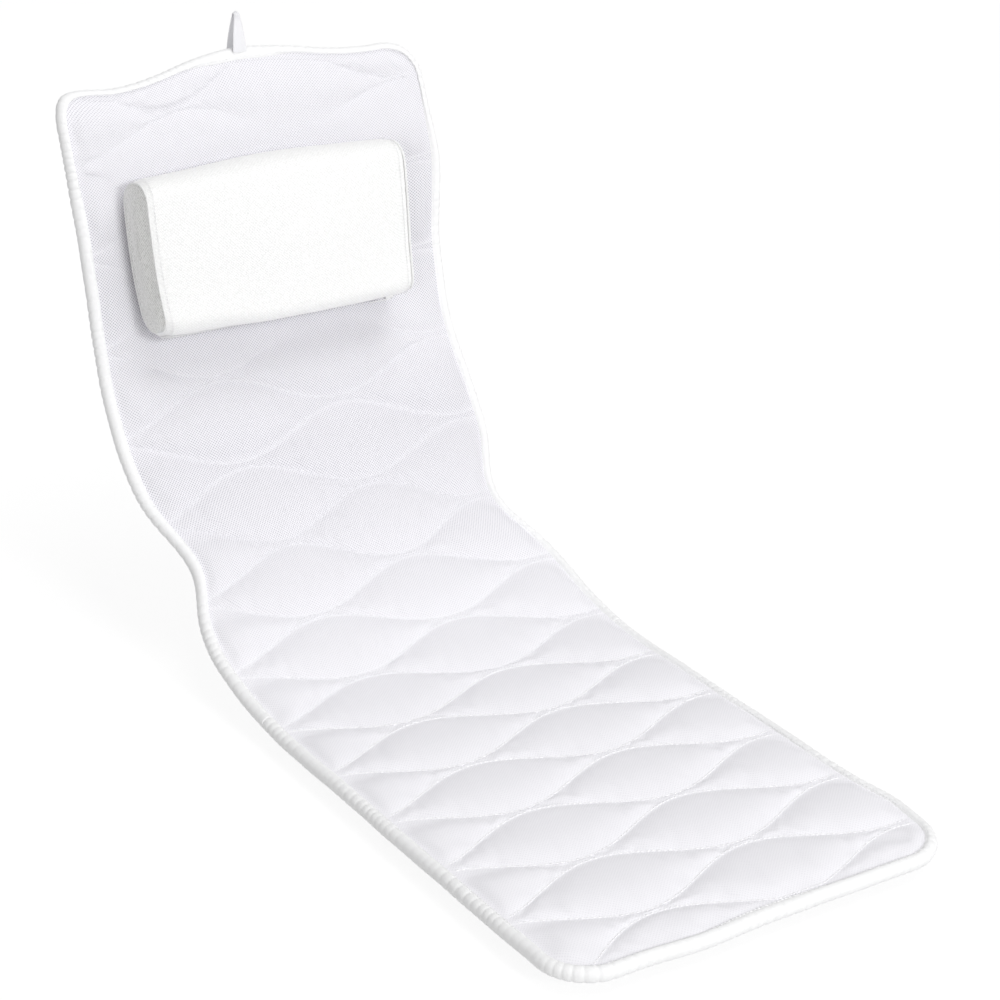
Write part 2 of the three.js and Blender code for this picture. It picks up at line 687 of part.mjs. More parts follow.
const group = new THREE.Group();
group.name = 'bath_pillow';
function add(name, geometry, material) {
  const mesh = new THREE.Mesh(geometry, material);
  mesh.name = name;
  group.add(mesh);
}

// Zone limits lie on the straight rows half way between two stitch lines
const betweenLines = (s) => {
  const u = (MAT_LENGTH - FIRST_LINE_FROM_HEAD - s) / QUILT_PITCH;
  return clamp(Math.round(u - 0.5), 1, LAST_LINE - 1) + 0.5;
};
const footFoldU = betweenLines(FOOT_FOLD_FROM_FOOT);
const bendU = betweenLines(BEND_FROM_FOOT);
const bendFootU = bendU + BEND_ROWS / 2;
const bendHeadU = bendU - BEND_ROWS / 2;
const footRows = zoneRows(LAST_LINE + 1, footFoldU);
const seatRows = zoneRows(footFoldU, bendFootU);
const bendRows = zoneRows(bendFootU, bendHeadU);
const backRows = zoneRows(bendHeadU, -1);

function addMatLayers(zone, rows) {
  const fillDepth = FACE_THICKNESS + GAP;
  add(`${zone}_face`, slab(quiltGrid(rows, 0), quiltGrid(rows, FACE_THICKNESS)), meshFabric);
  const fillBottom = plainGrid(rows, BACKING_THICKNESS + GAP);
  add(`${zone}_fill`, slab(quiltGrid(rows, fillDepth), fillBottom), wadding);
  const backingTop = plainGrid(rows, BACKING_THICKNESS);
  add(`${zone}_backing`, slab(backingTop, plainGrid(rows, 0)), backingFabric);
}

addMatLayers('foot', footRows);
addMatLayers('seat', seatRows);
addMatLayers('bend', bendRows);
addMatLayers('back', backRows);

// Side rows that lie clear of the rounded corners, so the binding's corners follow their own arcs
const clearOfCorners = (rows) => rows.filter(({ u }) => {
  const s = straightRowAt(u);
  return Math.min(s, MAT_LENGTH - s) > CORNER_RADIUS + GAP;
});
const footSide = clearOfCorners(footRows);
const backSide = clearOfCorners(backRows);
add('foot_binding', binding([
  ...sideStations(-1, footSide).reverse(),
  ...cornerStations(-1, false, Math.PI),
  ...cornerStations(1, false, 1.5 * Math.PI),
  ...sideStations(1, footSide),
]), tapeFabric);
add('back_binding', binding([
  ...sideStations(1, backSide),
  ...cornerStations(1, true, 0),
  ...headStations(),
  ...cornerStations(-1, true, Math.PI / 2),
  ...sideStations(-1, backSide).reverse(),
]), tapeFabric);
[['left', -1], ['right', 1]].forEach(([name, side]) => {
  add(`seat_binding_${name}`, binding(sideStations(side, seatRows)), tapeFabric);
  add(`bend_binding_${name}`, binding(sideStations(side, bendRows)), tapeFabric);
});
add('hanging_loop', hangingLoop(), ribbon);

function addCups(zone, rows) {
  const cupX = MAT_WIDTH / 2 - CUP_FROM_SIDE;
  let count = 0;
  rows.forEach((s) => [-cupX, cupX].forEach((x) => {
    count += 1;
    add(`${zone}_cup_${count}`, suctionCup(x, s), clearVinyl);
    add(`${zone}_patch_${count}`, cupPatch(x, s), backingFabric);
  }));
}

addCups('foot', FOOT_CUP_ROWS);
addCups('seat', SEAT_CUP_ROWS);
addCups('back', BACK_CUP_ROWS_FROM_HEAD.map((fromHead) => MAT_LENGTH - fromHead));

add('pillow_core', pillowCore(), foam);
add('pillow_wrap', coverPiece(({ wrap }) => wrap), pillowFabric);
add('pillow_back_panel', coverPiece(({ panel }) => panel), pillowFabric);
[['left', -1], ['right', 1]].forEach(([name, side]) => {
  add(`pillow_end_${name}`, pillowEnd(side), pillowFabric);
  add(`pillow_piping_${name}`, pillowPiping(side), pillowFabric);
});
add('zip_tape', zipTape(), zipPlastic);
add('zip_slider', zipSlider(), zipPlastic);
add('zip_pull', zipPull(), zipPlastic);
[['upper', 1], ['lower', -1]].forEach(([name, side]) => {
  const along = (side * STRIP_SPACING) / 2;
  add(`loop_strip_${name}`, strip(along, STRIP_SEAT), hookNylon);
  add(`hook_strip_${name}`, strip(along, STRIP_SEAT + STRIP_THICKNESS + GAP), hookNylon);
});

// Axes of the moving pieces
const bendS = straightRowAt(bendU);
const slopeAt = (s) => profile(s).slope;
const pillowSlope = slopeAt(PILLOW_MIDDLE);
const sliderTurn = sliderFrame();
group.userData.axes = {
  back_fold: { at: place(0, bendS, CHANNEL_TOP / 2) },
  foot_fold: { at: place(0, straightRowAt(footFoldU), CROWN_TOP + GAP) },
  pillow_peel: { along: new THREE.Vector3(0, -Math.sin(pillowSlope), Math.cos(pillowSlope)) },
  loop_swing: { at: place(0, LOOP_AXIS_S, ROLL_MIDDLE) },
  zip_pull_swing: {
    at: new THREE.Vector3(0, PULL_LIFT + PULL_THICKNESS / 2, 0).applyMatrix4(sliderTurn),
    along: new THREE.Vector3(0, 0, 1).transformDirection(sliderTurn),
  },
};

// The origin is the middle of the footprint, on the plane of the floor cups' lips
const bounds = new THREE.Box3().setFromObject(group);
const middle = bounds.getCenter(new THREE.Vector3());
const toOrigin = new THREE.Vector3(-middle.x, -middle.y, -bounds.min.z);
group.children.forEach((mesh) => mesh.geometry.translate(toOrigin.x, toOrigin.y, toOrigin.z));
Object.values(group.userData.axes).forEach(({ at }) => at && at.add(toOrigin));

export default group;
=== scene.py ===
import math

import bpy
import numpy as np
from mathutils import Matrix, Vector


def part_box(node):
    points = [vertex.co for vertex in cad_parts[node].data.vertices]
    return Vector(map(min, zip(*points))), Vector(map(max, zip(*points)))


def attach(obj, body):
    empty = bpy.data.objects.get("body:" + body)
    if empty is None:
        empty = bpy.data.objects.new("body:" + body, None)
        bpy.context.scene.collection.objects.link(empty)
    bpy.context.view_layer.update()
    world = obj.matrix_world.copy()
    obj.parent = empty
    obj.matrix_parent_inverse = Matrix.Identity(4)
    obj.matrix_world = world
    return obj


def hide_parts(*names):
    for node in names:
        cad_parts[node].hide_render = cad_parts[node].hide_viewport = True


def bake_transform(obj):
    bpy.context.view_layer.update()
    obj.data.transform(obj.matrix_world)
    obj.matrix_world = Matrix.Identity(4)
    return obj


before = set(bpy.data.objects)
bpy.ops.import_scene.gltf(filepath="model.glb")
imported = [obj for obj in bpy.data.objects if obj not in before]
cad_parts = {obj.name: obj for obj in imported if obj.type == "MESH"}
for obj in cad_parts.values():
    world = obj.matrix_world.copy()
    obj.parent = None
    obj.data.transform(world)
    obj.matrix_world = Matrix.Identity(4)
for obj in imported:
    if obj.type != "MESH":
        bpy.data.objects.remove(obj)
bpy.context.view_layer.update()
scene = bpy.context.scene

# Curved mat, as in the frame
MAT_WIDTH = 400
MAT_LENGTH = 1200
CORNER_RADIUS = 48
FLAT_RUN = 440
STRAIGHT_RUN = 108
CURL_RUN = 80
BACK_SLOPE = math.radians(78)
CURL_ANGLE = math.radians(16)
BEND_FROM_FOOT = 699
WAIST_DEPTH = 26
WAIST_SPREAD = 57
LEFT_DROOP = 23
RIGHT_DROOP = 15.5
DROOP_RUN = 200
DROOP_FROM_MIDDLE = 140

# Uneven edges of the soft mat: side, place along the mat, spread and reach of each bulge
SIDE_BULGES = ((1, 85, 42, 6), (1, 895, 45, -4), (1, 1065, 60, 11), (-1, 1000, 80, -5))
FOOT_WAVE = 4
FOOT_WAVE_X = -69
FOOT_WAVE_SPREAD = 36
CORNER_PULL = 7
CORNER_PULL_SPREAD = 24

# Quilted pad
CHANNEL_TOP = 9.6
CROWN_HEIGHT = 4.6
CROWN_LEAN = 1.35
CROWN_POWER = 2.15
NARROW_LEAF_POWER = 0.6
LEAF_UNEVEN = 0.07
CROWN_ON_BACK = 0.9
FLATTER_FROM = (740, 900)
CHANNEL_WIDTH = 1.8
PAD_INSET = 4.2
EDGE_FLAT = -1
EDGE_RUN = 9
QUILT_PITCH = 46
QUILT_AMPLITUDE = 20.3
QUILT_WAVES = 1.5
QUILT_SHIFT = -18
FIRST_LINE_FROM_HEAD = 18.4
LINE_FROM_END = 15
PAD_COLUMNS = 99
LEAF_STEPS = np.array([0, 0.025, 0.1, 0.2, 0.34, 0.5, 0.66, 0.8, 0.9, 0.975, 1])
DRAWN_NEAR_LINE = 0.06
DRAWN_AT_LINE = ((560, 1), (720, 0.32))
# How far the net closes up, by place along the mat, which lightens it. This is partly the net's own tone
# and partly painted light: over the seat it stands in for light from above, and the rise at 890, just below
# the pillow, lifts the pillow's shadow
NET_CLOSED_AND_PAINTED_LIGHT = (
    (0, 0.82), (300, 0.79), (560, 0.68), (700, 0.3), (800, 0.05),
    (890, 0.2), (960, 0), (1050, 0.05), (1110, 0.36),
)
PRESSED_TOP = 11.6
PRESS_NEAR = 1
PRESS_FAR = 45
PRESS_ABOVE = 15
BACKING_PUFF = 0.9

# Thread: rings along each stitch, points round it, directions on the flat mat, and quilting thread
STITCH_AT = np.array([0, 0.2, 0.8, 1])
STITCH_SIDES = 5
UP = np.array([0.0, 0.0, 1.0])
ACROSS = np.array([1.0, 0.0, 0.0])
BACK_THREAD_RADIUS = 0.34
FOOT_THREAD_RADIUS = 0.5

# Bound edge
BINDING_LAP = 13
BINDING_LOW = -2.1
BINDING_HIGH = 12.1
ROLL_RADIUS = (BINDING_HIGH - BINDING_LOW) / 2
ROLL_MIDDLE = (BINDING_HIGH + BINDING_LOW) / 2
POCKET = 3.2
SIDE_NARROW = 2
HEAD_NARROW = 3
NARROW_FROM = (15, 70)
NARROW_ABOVE = (1060, 1140)
PUCKER_PITCH = 9.5
PUCKER_DEPTH = 0.9
PUCKER_WIDTH = 0.4
BINDING_STITCH = 11

# Folds: the mat is cut along one stitch line, so that each half crosses one joint
CUT_LINE = 15

# Head pillow
PILLOW_LENGTH = 282
PILLOW_HEIGHT = 168
PILLOW_MIDDLE = 1015
PILLOW_OFFSET = -4
PILLOW_BASE = 16.55
PILLOW_END_DEPTH = 50
PILLOW_MID_DEPTH = 58
FRONT_CROWN = 4
FRONT_RADIUS = 22
LOWER_BACK_RADIUS = 12
UPPER_BACK_RADIUS = 20
LOWER_SAG = 10.5
LEFT_SAG = 4.5
LEFT_SAG_FROM = (30, 90)
UPPER_RISE = 1
UPPER_EASE = 7
LOWER_EASE = 12
RIGHT_LOWER_EASE = 7
END_EASE_RUN = 17
END_BACK_RADIUS = 23
LEFT_BOW = 6.9
LEFT_BOW_AT_FRONT = 0.65
LEFT_BOW_FALL = 0.75
LEFT_BOW_MIDDLE = 0.15
RIGHT_DRAW = 2.7
RIGHT_LEAN = 3.5
RIGHT_ROUND = 1.8
BOW_FROM = 50
END_INSETS = (24.6, 22, 18, 13.5, 9, 5.5, 2.5)
END_BULGE = 6.5
COVER_INSET = 1.6
SECTION_POINTS = 132
PIPING_RADIUS = 1.1
PIPING_SIDES = 12
SEAM_X = PILLOW_LENGTH / 2 - 2.8
ZIP_LOW = 13
ZIP_WIDTH = 14
ZIP_MIDDLE = PILLOW_BASE + ZIP_LOW + ZIP_WIDTH / 2
ZIP_HALF = PILLOW_LENGTH / 2 - 7
SLIDER_FROM_MIDDLE = PILLOW_LENGTH / 2 - 24
SLIDER_LIFT = 0.6
TAPE_SEAT = 0.6
TAPE_END_SUNK = 1.6
STRIP_LENGTH = 230
STRIP_WIDTH = 25
STRIP_THICKNESS = 1.5
STRIP_SEAT = 12.95
STRIP_SPACING = 96
STRIP_GAP = 0.3

# Loop, cups and patches
LOOP_FOOT_WIDTH = 14.5
RIBBON_THICKNESS = 0.9
LOOP_HEIGHT = 34
LOOP_TIP_WIDTH = 6.5
LOOP_TIP_CREASE = 1.8
LOOP_TIP_RADIUS = 2.4
LOOP_SPREAD = math.radians(60)
CUP_X = 140
CUP_STEPS = 40
CUP_CLEAR = (19, 34)
PATCH_STITCH = 14.2
CUP_ROWS = {"foot": (62, 250), "seat": (415, 585), "back": (830, 1085)}

LAP_X = MAT_WIDTH / 2 - BINDING_LAP
EDGE_X = MAT_WIDTH / 2 - PAD_INSET
LAST_LINE = int((MAT_LENGTH - FIRST_LINE_FROM_HEAD - BINDING_LAP) // QUILT_PITCH)
SETTLE_FRAMES = 20
WIDEST_LEAF = QUILT_PITCH + 2 * QUILT_AMPLITUDE
FOOT_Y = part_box("foot_binding")[0].y * 1000
UNDERSIDE_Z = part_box("seat_backing")[0].z * 1000


def smoothstep(value, low, high):
    t = np.clip((value - low) / (high - low), 0, 1)
    return t * t * (3 - 2 * t)


def hump(value, middle, spread):
    return np.exp(-(((value - middle) / spread) ** 2))


def run_along(path):
    """Distance run at each point of a path."""
    return np.concatenate([[0], np.cumsum(np.linalg.norm(np.diff(path, axis=0), axis=1))])


def directions(path):
    along = np.gradient(path, axis=0)
    return along / np.linalg.norm(along, axis=1, keepdims=True)


def circle(steps):
    return np.linspace(0, 2 * np.pi, steps, endpoint=False)


def cloth_uv(across, along):
    """Place in the cloth in metres, from millimetres across and along it."""
    return np.stack(np.broadcast_arrays(across, along), -1) / 1000


def profile(s):
    """Height, reach and slope of the mat's underside at s."""
    curl_start = MAT_LENGTH - CURL_RUN
    rise_end = curl_start - STRAIGHT_RUN
    rise_radius = (rise_end - FLAT_RUN) / BACK_SLOPE
    curl_radius = CURL_RUN / CURL_ANGLE
    turn = np.clip((s - FLAT_RUN) / rise_radius, 0, BACK_SLOPE)
    straight = np.clip(s - rise_end, 0, STRAIGHT_RUN)
    slope = turn - np.maximum(0, s - curl_start) / curl_radius
    y = np.minimum(s, FLAT_RUN) + rise_radius * np.sin(turn) + straight * math.cos(BACK_SLOPE)
    z = rise_radius * (1 - np.cos(turn)) + straight * math.sin(BACK_SLOPE)
    y = y + curl_radius * (np.sin(turn) - np.sin(slope))
    z = z + curl_radius * (np.cos(slope) - np.cos(turn))
    return y, z, slope


def place(flat):
    """Carries points (x, s, h) of the flat mat onto the curved one, in metres."""
    x, s, h = np.moveaxis(np.asarray(flat, float), -1, 0)
    across = x / (MAT_WIDTH / 2)
    shift = -WAIST_DEPTH * across * hump(s, BEND_FROM_FOOT, WAIST_SPREAD)
    for side, middle, spread, reach in SIDE_BULGES:
        shift = shift + side * reach * smoothstep(side * across, 0.6, 1) * hump(s, middle, spread)
    wave = FOOT_WAVE * (1 - smoothstep(s, 0, 70)) * hump(x, FOOT_WAVE_X, FOOT_WAVE_SPREAD)
    drooping = np.maximum(0, (s - MAT_LENGTH + DROOP_RUN) / DROOP_RUN)
    sag = drooping * np.sin(np.pi / 2 * x / DROOP_FROM_MIDDLE)
    droop = np.where(x < 0, LEFT_DROOP, RIGHT_DROOP) * sag**2
    arc = CORNER_RADIUS * (1 - math.sqrt(0.5))
    from_corner = np.hypot(x + MAT_WIDTH / 2 - arc, s - MAT_LENGTH + arc)
    pull = CORNER_PULL * math.sqrt(0.5) * hump(from_corner, 0, CORNER_PULL_SPREAD)
    y, z, slope = profile(s + pull - droop)
    y = y - h * np.sin(slope) - wave + FOOT_Y
    z = z + h * np.cos(slope) + UNDERSIDE_Z
    return np.stack([x + shift - pull, y, z], -1) / 1000


def frame_at(x, s):
    """Matrix standing on the underside: X across, Y along the mat, Z out of its upper face, in metres."""
    slope = float(profile(np.float64(s))[2])
    return Matrix.Translation(place((x, s, 0))) @ Matrix.Rotation(slope, 4, "X")


def stand(matrix, points):
    """Points in millimetres in a standing frame, carried to the shared frame in metres."""
    turned = np.asarray(points, float) / 1000 @ np.array(matrix.to_3x3()).T
    return turned + np.array(matrix.translation)


# Mesh building


def grid_faces(rows, columns, start=0, closed=False, looped=False):
    """Quads of a grid of points; closed joins the last column to the first, looped the last row."""
    i = np.arange(rows if looped else rows - 1)[:, None]
    j = np.arange(columns if closed else columns - 1)[None, :]
    below, beside = (i + 1) % rows, (j + 1) % columns
    corners = [i * columns + j, below * columns + j, below * columns + beside, i * columns + beside]
    return np.stack(np.broadcast_arrays(*corners), -1).reshape(-1, 4) + start


def new_mesh(name, points, faces):
    mesh = bpy.data.meshes.new(name)
    mesh.from_pydata(np.asarray(points).reshape(-1, 3).tolist(), [], [list(map(int, f)) for f in faces])
    return mesh


def add(name, data):
    obj = bpy.data.objects.new(name, data)
    scene.collection.objects.link(obj)
    return obj


def make(name, points, faces, materials, uv=None, material_index=None, crease=None, drawn=None):
    """A mesh from points in metres; uv is the place in the cloth, drawn how tightly it is stitched, with
    painted light added on the quilted pad.
    """
    mesh = new_mesh(name, points, faces)
    if uv is not None:
        corners = np.empty(len(mesh.loops), np.int32)
        mesh.loops.foreach_get("vertex_index", corners)
        layer = mesh.uv_layers.new(name="cloth")
        layer.data.foreach_set("uv", np.asarray(uv, np.float32).reshape(-1, 2)[corners].ravel())
    for material in materials if isinstance(materials, (list, tuple)) else [materials]:
        mesh.materials.append(material)
    if material_index is not None:
        mesh.polygons.foreach_set("material_index", np.asarray(material_index, np.int32))
    mesh.polygons.foreach_set("use_smooth", np.ones(len(mesh.polygons), bool))
    if drawn is not None:
        layer = mesh.attributes.new("drawn", "FLOAT", "POINT")
        layer.data.foreach_set("value", np.asarray(drawn, np.float32).ravel())
    if crease:
        mesh.set_sharp_from_angle(angle=math.radians(crease))
    mesh.validate()
    return add(name, mesh)


def capped(rings, start=0):
    """Faces of a closed tube of rings, capped at both ends."""
    rows, columns = rings.shape[:2]
    faces = grid_faces(rows, columns, start, closed=True).tolist()
    first = list(range(start, start + columns))
    last = [start + (rows - 1) * columns + j for j in range(columns)]
    return faces + [first, last[::-1]]


def turned(pairs, matrix, steps):
    """Rings of a turned piece: radius and height pairs about the frame's Z axis."""
    angle = circle(steps)
    rings = [np.stack([r * np.cos(angle), r * np.sin(angle), np.full(steps, h)], -1) for r, h in pairs]
    return stand(matrix, rings)


def simulate(points, faces, pinned, pressure, slack, cap):
    """Cloth blown up from inside; pinned points hold, and no point moves further than cap millimetres."""
    blown = add("simulated", new_mesh("simulated", points / 1000, faces))
    held = blown.vertex_groups.new(name="held")
    held.add(np.flatnonzero(pinned).tolist(), 1.0, "REPLACE")
    cloth = blown.modifiers.new("cloth", "CLOTH")
    settings = cloth.settings
    settings.quality = 5
    settings.vertex_group_mass = "held"
    settings.use_pressure = True
    settings.uniform_pressure_force = pressure
    settings.shrink_min = -slack
    settings.bending_stiffness = 1.5
    settings.effector_weights.gravity = 0
    cloth.point_cache.frame_start = 1
    cloth.point_cache.frame_end = SETTLE_FRAMES
    for step in range(1, SETTLE_FRAMES + 1):
        scene.frame_set(step)
    evaluated = blown.evaluated_get(bpy.context.evaluated_depsgraph_get())
    moved = np.empty(len(points) * 3, np.float32)
    evaluated.data.vertices.foreach_get("co", moved)
    bpy.data.objects.remove(blown)
    scene.frame_set(1)
    shift = moved.reshape(-1, 3) * 1000.0 - points
    length = np.linalg.norm(shift, axis=1, keepdims=True)
    return points + shift * np.minimum(1, cap / np.maximum(length, 1e-9))


def stitches(path, normal, across, pitch, length, radius):
    """Rings of thread stitches along a path of flat points, each dipping into the cloth at its ends."""
    normal, across = (np.broadcast_to(way, path.shape) for way in (normal, across))
    run = run_along(path)
    starts = np.arange(pitch / 2, run[-1] - length, pitch)
    at = starts[:, None] + STITCH_AT * length

    def sample(values):
        return np.stack([np.interp(at, run, values[:, i]) for i in range(3)], -1)

    dip = np.array([-0.8, 0.25, 0.25, -0.8]) * radius
    thick = np.array([0.35, 1, 1, 0.35]) * radius
    middle = sample(path) + sample(normal) * dip[:, None]
    angle = circle(STITCH_SIDES)
    side = sample(across)[:, :, None] * (thick[:, None] * np.cos(angle))[..., None]
    rise = sample(normal)[:, :, None] * (thick[:, None] * np.sin(angle))[..., None]
    return middle[:, :, None] + side + rise


def sew(name, stitched, uv, material, order=1):
    """Stitches as one piece, from the rings of each in metres."""
    one = grid_faces(len(STITCH_AT), STITCH_SIDES, closed=True)
    first = len(STITCH_AT) * STITCH_SIDES * np.arange(len(stitched))
    faces = (one[None] + first[:, None, None]).reshape(-1, 4)
    return make(name, stitched, faces[:, ::order], material, uv)


# Materials


class Nodes:
    """The node tree of a material or of the surroundings."""

    def __init__(self, tree):
        self.tree = tree

    def node(self, kind, inputs=None, **settings):
        node = self.tree.nodes.new(kind)
        for key, value in settings.items():
            setattr(node, key, value)
        for key, value in (inputs or {}).items():
            if isinstance(value, bpy.types.NodeSocket):
                self.tree.links.new(value, node.inputs[key])
            else:
                node.inputs[key].default_value = value
        return node

    def math(self, operation, *values):
        inputs = dict(enumerate(values))
        return self.node("ShaderNodeMath", inputs, operation=operation).outputs[0]

    def seen(self):
        """1 to the camera, to reflections and through clear pieces, 0 to the rays that light."""
        path = self.node("ShaderNodeLightPath").outputs
        seen = self.math("MAXIMUM", path["Is Camera Ray"], path["Is Glossy Ray"])
        return self.math("MAXIMUM", seen, path["Is Transmission Ray"])


class Look(Nodes):
    """A Principled material whose colour and bump come from the cloth's own coordinates."""

    def __init__(self, name, color, roughness, **sockets):
        self.material = bpy.data.materials.new(name)
        self.material.use_nodes = True
        super().__init__(self.material.node_tree)
        self.shader = self.tree.nodes["Principled BSDF"]
        self.shader.inputs["Base Color"].default_value = (*color, 1)
        self.shader.inputs["Roughness"].default_value = roughness
        for socket, value in sockets.items():
            self.shader.inputs[socket.replace("_", " ")].default_value = value

    def cloth(self):
        """The two coordinates of the cloth, in metres."""
        uv = self.node("ShaderNodeUVMap", uv_map="cloth").outputs[0]
        apart = self.node("ShaderNodeSeparateXYZ", {0: uv}).outputs
        return apart[0], apart[1]

    def wave(self, value, pitch):
        """A wave from 0 to 1 that repeats every pitch metres."""
        turn = self.math("MULTIPLY", value, 2 * math.pi / pitch)
        return self.math("MULTIPLY_ADD", self.math("COSINE", turn), 0.5, 0.5)

    def diamonds(self, pitch):
        """Peaks on a diamond lattice, from 0 to 1."""
        u, v = self.cloth()
        rising = self.wave(self.math("ADD", u, v), pitch)
        falling = self.wave(self.math("SUBTRACT", u, v), pitch)
        return self.math("MULTIPLY", rising, falling)

    def noise(self, scale, detail):
        place = self.node("ShaderNodeTexCoord").outputs["Object"]
        inputs = {"Vector": place, "Scale": scale, "Detail": detail}
        return self.node("ShaderNodeTexNoise", inputs).outputs[0]

    def ramp(self, value, low, high):
        inputs = {"Value": value, "From Min": low, "From Max": high}
        return self.node("ShaderNodeMapRange", inputs, interpolation_type="SMOOTHSTEP").outputs[0]

    def color(self, share, first, second):
        """Base colour that goes from first to second with share."""
        inputs = {0: share, 6: (*first, 1), 7: (*second, 1)}
        mix = self.node("ShaderNodeMix", inputs, data_type="RGBA")
        self.tree.links.new(mix.outputs[2], self.shader.inputs["Base Color"])

    def bump(self, height, strength, distance):
        bump = self.node("ShaderNodeBump", {"Height": height, "Strength": strength, "Distance": distance})
        self.tree.links.new(bump.outputs[0], self.shader.inputs["Normal"])


def mesh_look():
    """Diamond net whose holes close up where the stitch lines draw it together, and where painted light
    lightens it over the seat and below the pillow.
    """
    look = Look("air_mesh", (0.88, 0.88, 0.91), 0.8, Sheen_Weight=0.1)
    drawn = look.node("ShaderNodeAttribute", attribute_name="drawn").outputs["Fac"]
    # drawn is the stitch lines' pull plus painted light over the seat and below the pillow; where it is
    # high the net is lighter
    open_net_less_painted_light = look.math("SUBTRACT", 1.0, drawn)
    hole = look.ramp(look.diamonds(0.0031), 0.08, 0.6)
    fibre = look.noise(900, 2)
    speck = look.math("MULTIPLY", hole, look.math("MULTIPLY_ADD", fibre, 0.6, 0.6))
    shade = look.math("MULTIPLY", open_net_less_painted_light, look.math("MULTIPLY_ADD", speck, 0.75, 0.16))
    look.color(shade, (0.958, 0.95, 0.985), (0.42, 0.41, 0.46))
    dip = look.math("MULTIPLY", hole, open_net_less_painted_light)
    look.bump(look.math("SUBTRACT", look.math("MULTIPLY", fibre, 0.25), dip), 0.4, 0.0005)
    return look.material


def woven_look(name, color, dark, pitch, roughness, strength):
    look = Look(name, color, roughness, Sheen_Weight=0.2)
    weave = look.diamonds(pitch)
    fibre = look.noise(1400, 3)
    grain = look.math("MULTIPLY_ADD", fibre, 0.5, look.math("MULTIPLY", weave, 0.5))
    look.color(look.ramp(grain, 0.25, 0.85), dark, color)
    look.bump(grain, strength, 0.0004)
    return look.material


def knit_look(name, color, dark, strength):
    """Soft knit with a diagonal stitch and uneven yarn."""
    look = Look(name, color, 0.85, Sheen_Weight=0.2)
    yarn = look.noise(420, 3)
    grain = look.math("MULTIPLY_ADD", yarn, 0.6, look.math("MULTIPLY", look.diamonds(0.0034), 0.4))
    look.color(look.ramp(grain, 0.15, 0.55), dark, color)
    look.bump(grain, strength, 0.0006)
    return look.material


def ribbed_look(name, color, dark, pitch, roughness, strength):
    """Ribs across a tape: the second cloth coordinate runs along it."""
    look = Look(name, color, roughness, Sheen_Weight=0.15)
    along = look.cloth()[1]
    rib = look.wave(along, pitch)
    fibre = look.noise(1100, 2)
    grain = look.math("MULTIPLY_ADD", fibre, 0.35, look.math("MULTIPLY", rib, 0.65))
    look.color(look.ramp(grain, 0.1, 0.75), dark, color)
    look.bump(grain, strength, 0.0005)
    return look.material


def plastic_look(name, color, roughness, **sockets):
    look = Look(name, color, roughness, **sockets)
    spread = {"Value": look.noise(60, 4), "To Min": roughness * 0.8, "To Max": roughness * 1.3}
    worn = look.node("ShaderNodeMapRange", spread)
    look.tree.links.new(worn.outputs[0], look.shader.inputs["Roughness"])
    look.bump(look.noise(500, 2), 0.06, 0.0003)
    return look.material


def floor_look():
    """Pale floor: white to the camera and to reflections, and still carrying a soft shadow."""
    look = Look("floor", (0.82, 0.82, 0.82), 0.9)
    glow = look.node("ShaderNodeEmission", {"Color": (1, 1, 1, 1), "Strength": 1.12})
    share = look.math("MULTIPLY", look.seen(), 0.8)
    mix = look.node("ShaderNodeMixShader", {0: share, 1: look.shader.outputs[0], 2: glow.outputs[0]})
    look.tree.links.new(mix.outputs[0], look.tree.nodes["Material Output"].inputs[0])
    return look.material


MESH = mesh_look()
BACKING = woven_look("backing", (0.86, 0.86, 0.88), (0.76, 0.76, 0.79), 0.0012, 0.85, 0.3)
TAPE = ribbed_look("binding", (0.97, 0.97, 0.972), (0.93, 0.93, 0.935), 0.0011, 0.75, 0.25)
KNIT = knit_look("knit", (0.985, 0.985, 0.982), (0.88, 0.88, 0.873), 1.0)
# Darker copy of the cover's knit for the pillow's end panels: painted shade, since the ends face away from
# the key lamp
END_KNIT_PAINTED_SHADE = knit_look("end_knit_painted_shade", (0.985, 0.985, 0.97), (0.68, 0.68, 0.66), 0.9)
THREAD = ribbed_look("thread", (0.97, 0.97, 0.975), (0.9, 0.9, 0.91), 0.0006, 0.6, 0.3)
NET_THREAD = ribbed_look("net_thread", (0.89, 0.89, 0.915), (0.82, 0.82, 0.85), 0.0006, 0.6, 0.3)
RIBBON = ribbed_look("ribbon", (0.93, 0.93, 0.95), (0.84, 0.84, 0.87), 0.0008, 0.45, 0.35)
NYLON = woven_look("hook_nylon", (0.88, 0.88, 0.88), (0.68, 0.68, 0.68), 0.0016, 0.7, 0.9)
ZIP_TAPE = woven_look("zip_tape", (0.9, 0.9, 0.9), (0.8, 0.8, 0.8), 0.001, 0.8, 0.4)
ZIP_PLASTIC = plastic_look("zip_plastic", (0.88, 0.88, 0.88), 0.3)
VINYL = plastic_look("vinyl", (0.9, 0.94, 0.96), 0.12, Transmission_Weight=0.75, IOR=1.5)


# Quilted pad


def line_at(k, x):
    """Place along the mat of stitch line k, counted from the head; past the last are the pad's edges."""
    if k < 0:
        return np.full_like(x, MAT_LENGTH - PAD_INSET)
    if k > LAST_LINE:
        return np.full_like(x, PAD_INSET)
    from_left = np.clip(x, -LAP_X, LAP_X) - QUILT_SHIFT + LAP_X
    phase = 2 * np.pi * QUILT_WAVES * from_left / (2 * LAP_X)
    swing = QUILT_AMPLITUDE * np.cos(phase) * (1 if k % 2 == 0 else -1)
    middle = MAT_LENGTH - FIRST_LINE_FROM_HEAD - k * QUILT_PITCH
    return np.clip(middle + swing, LINE_FROM_END, MAT_LENGTH - LINE_FROM_END)


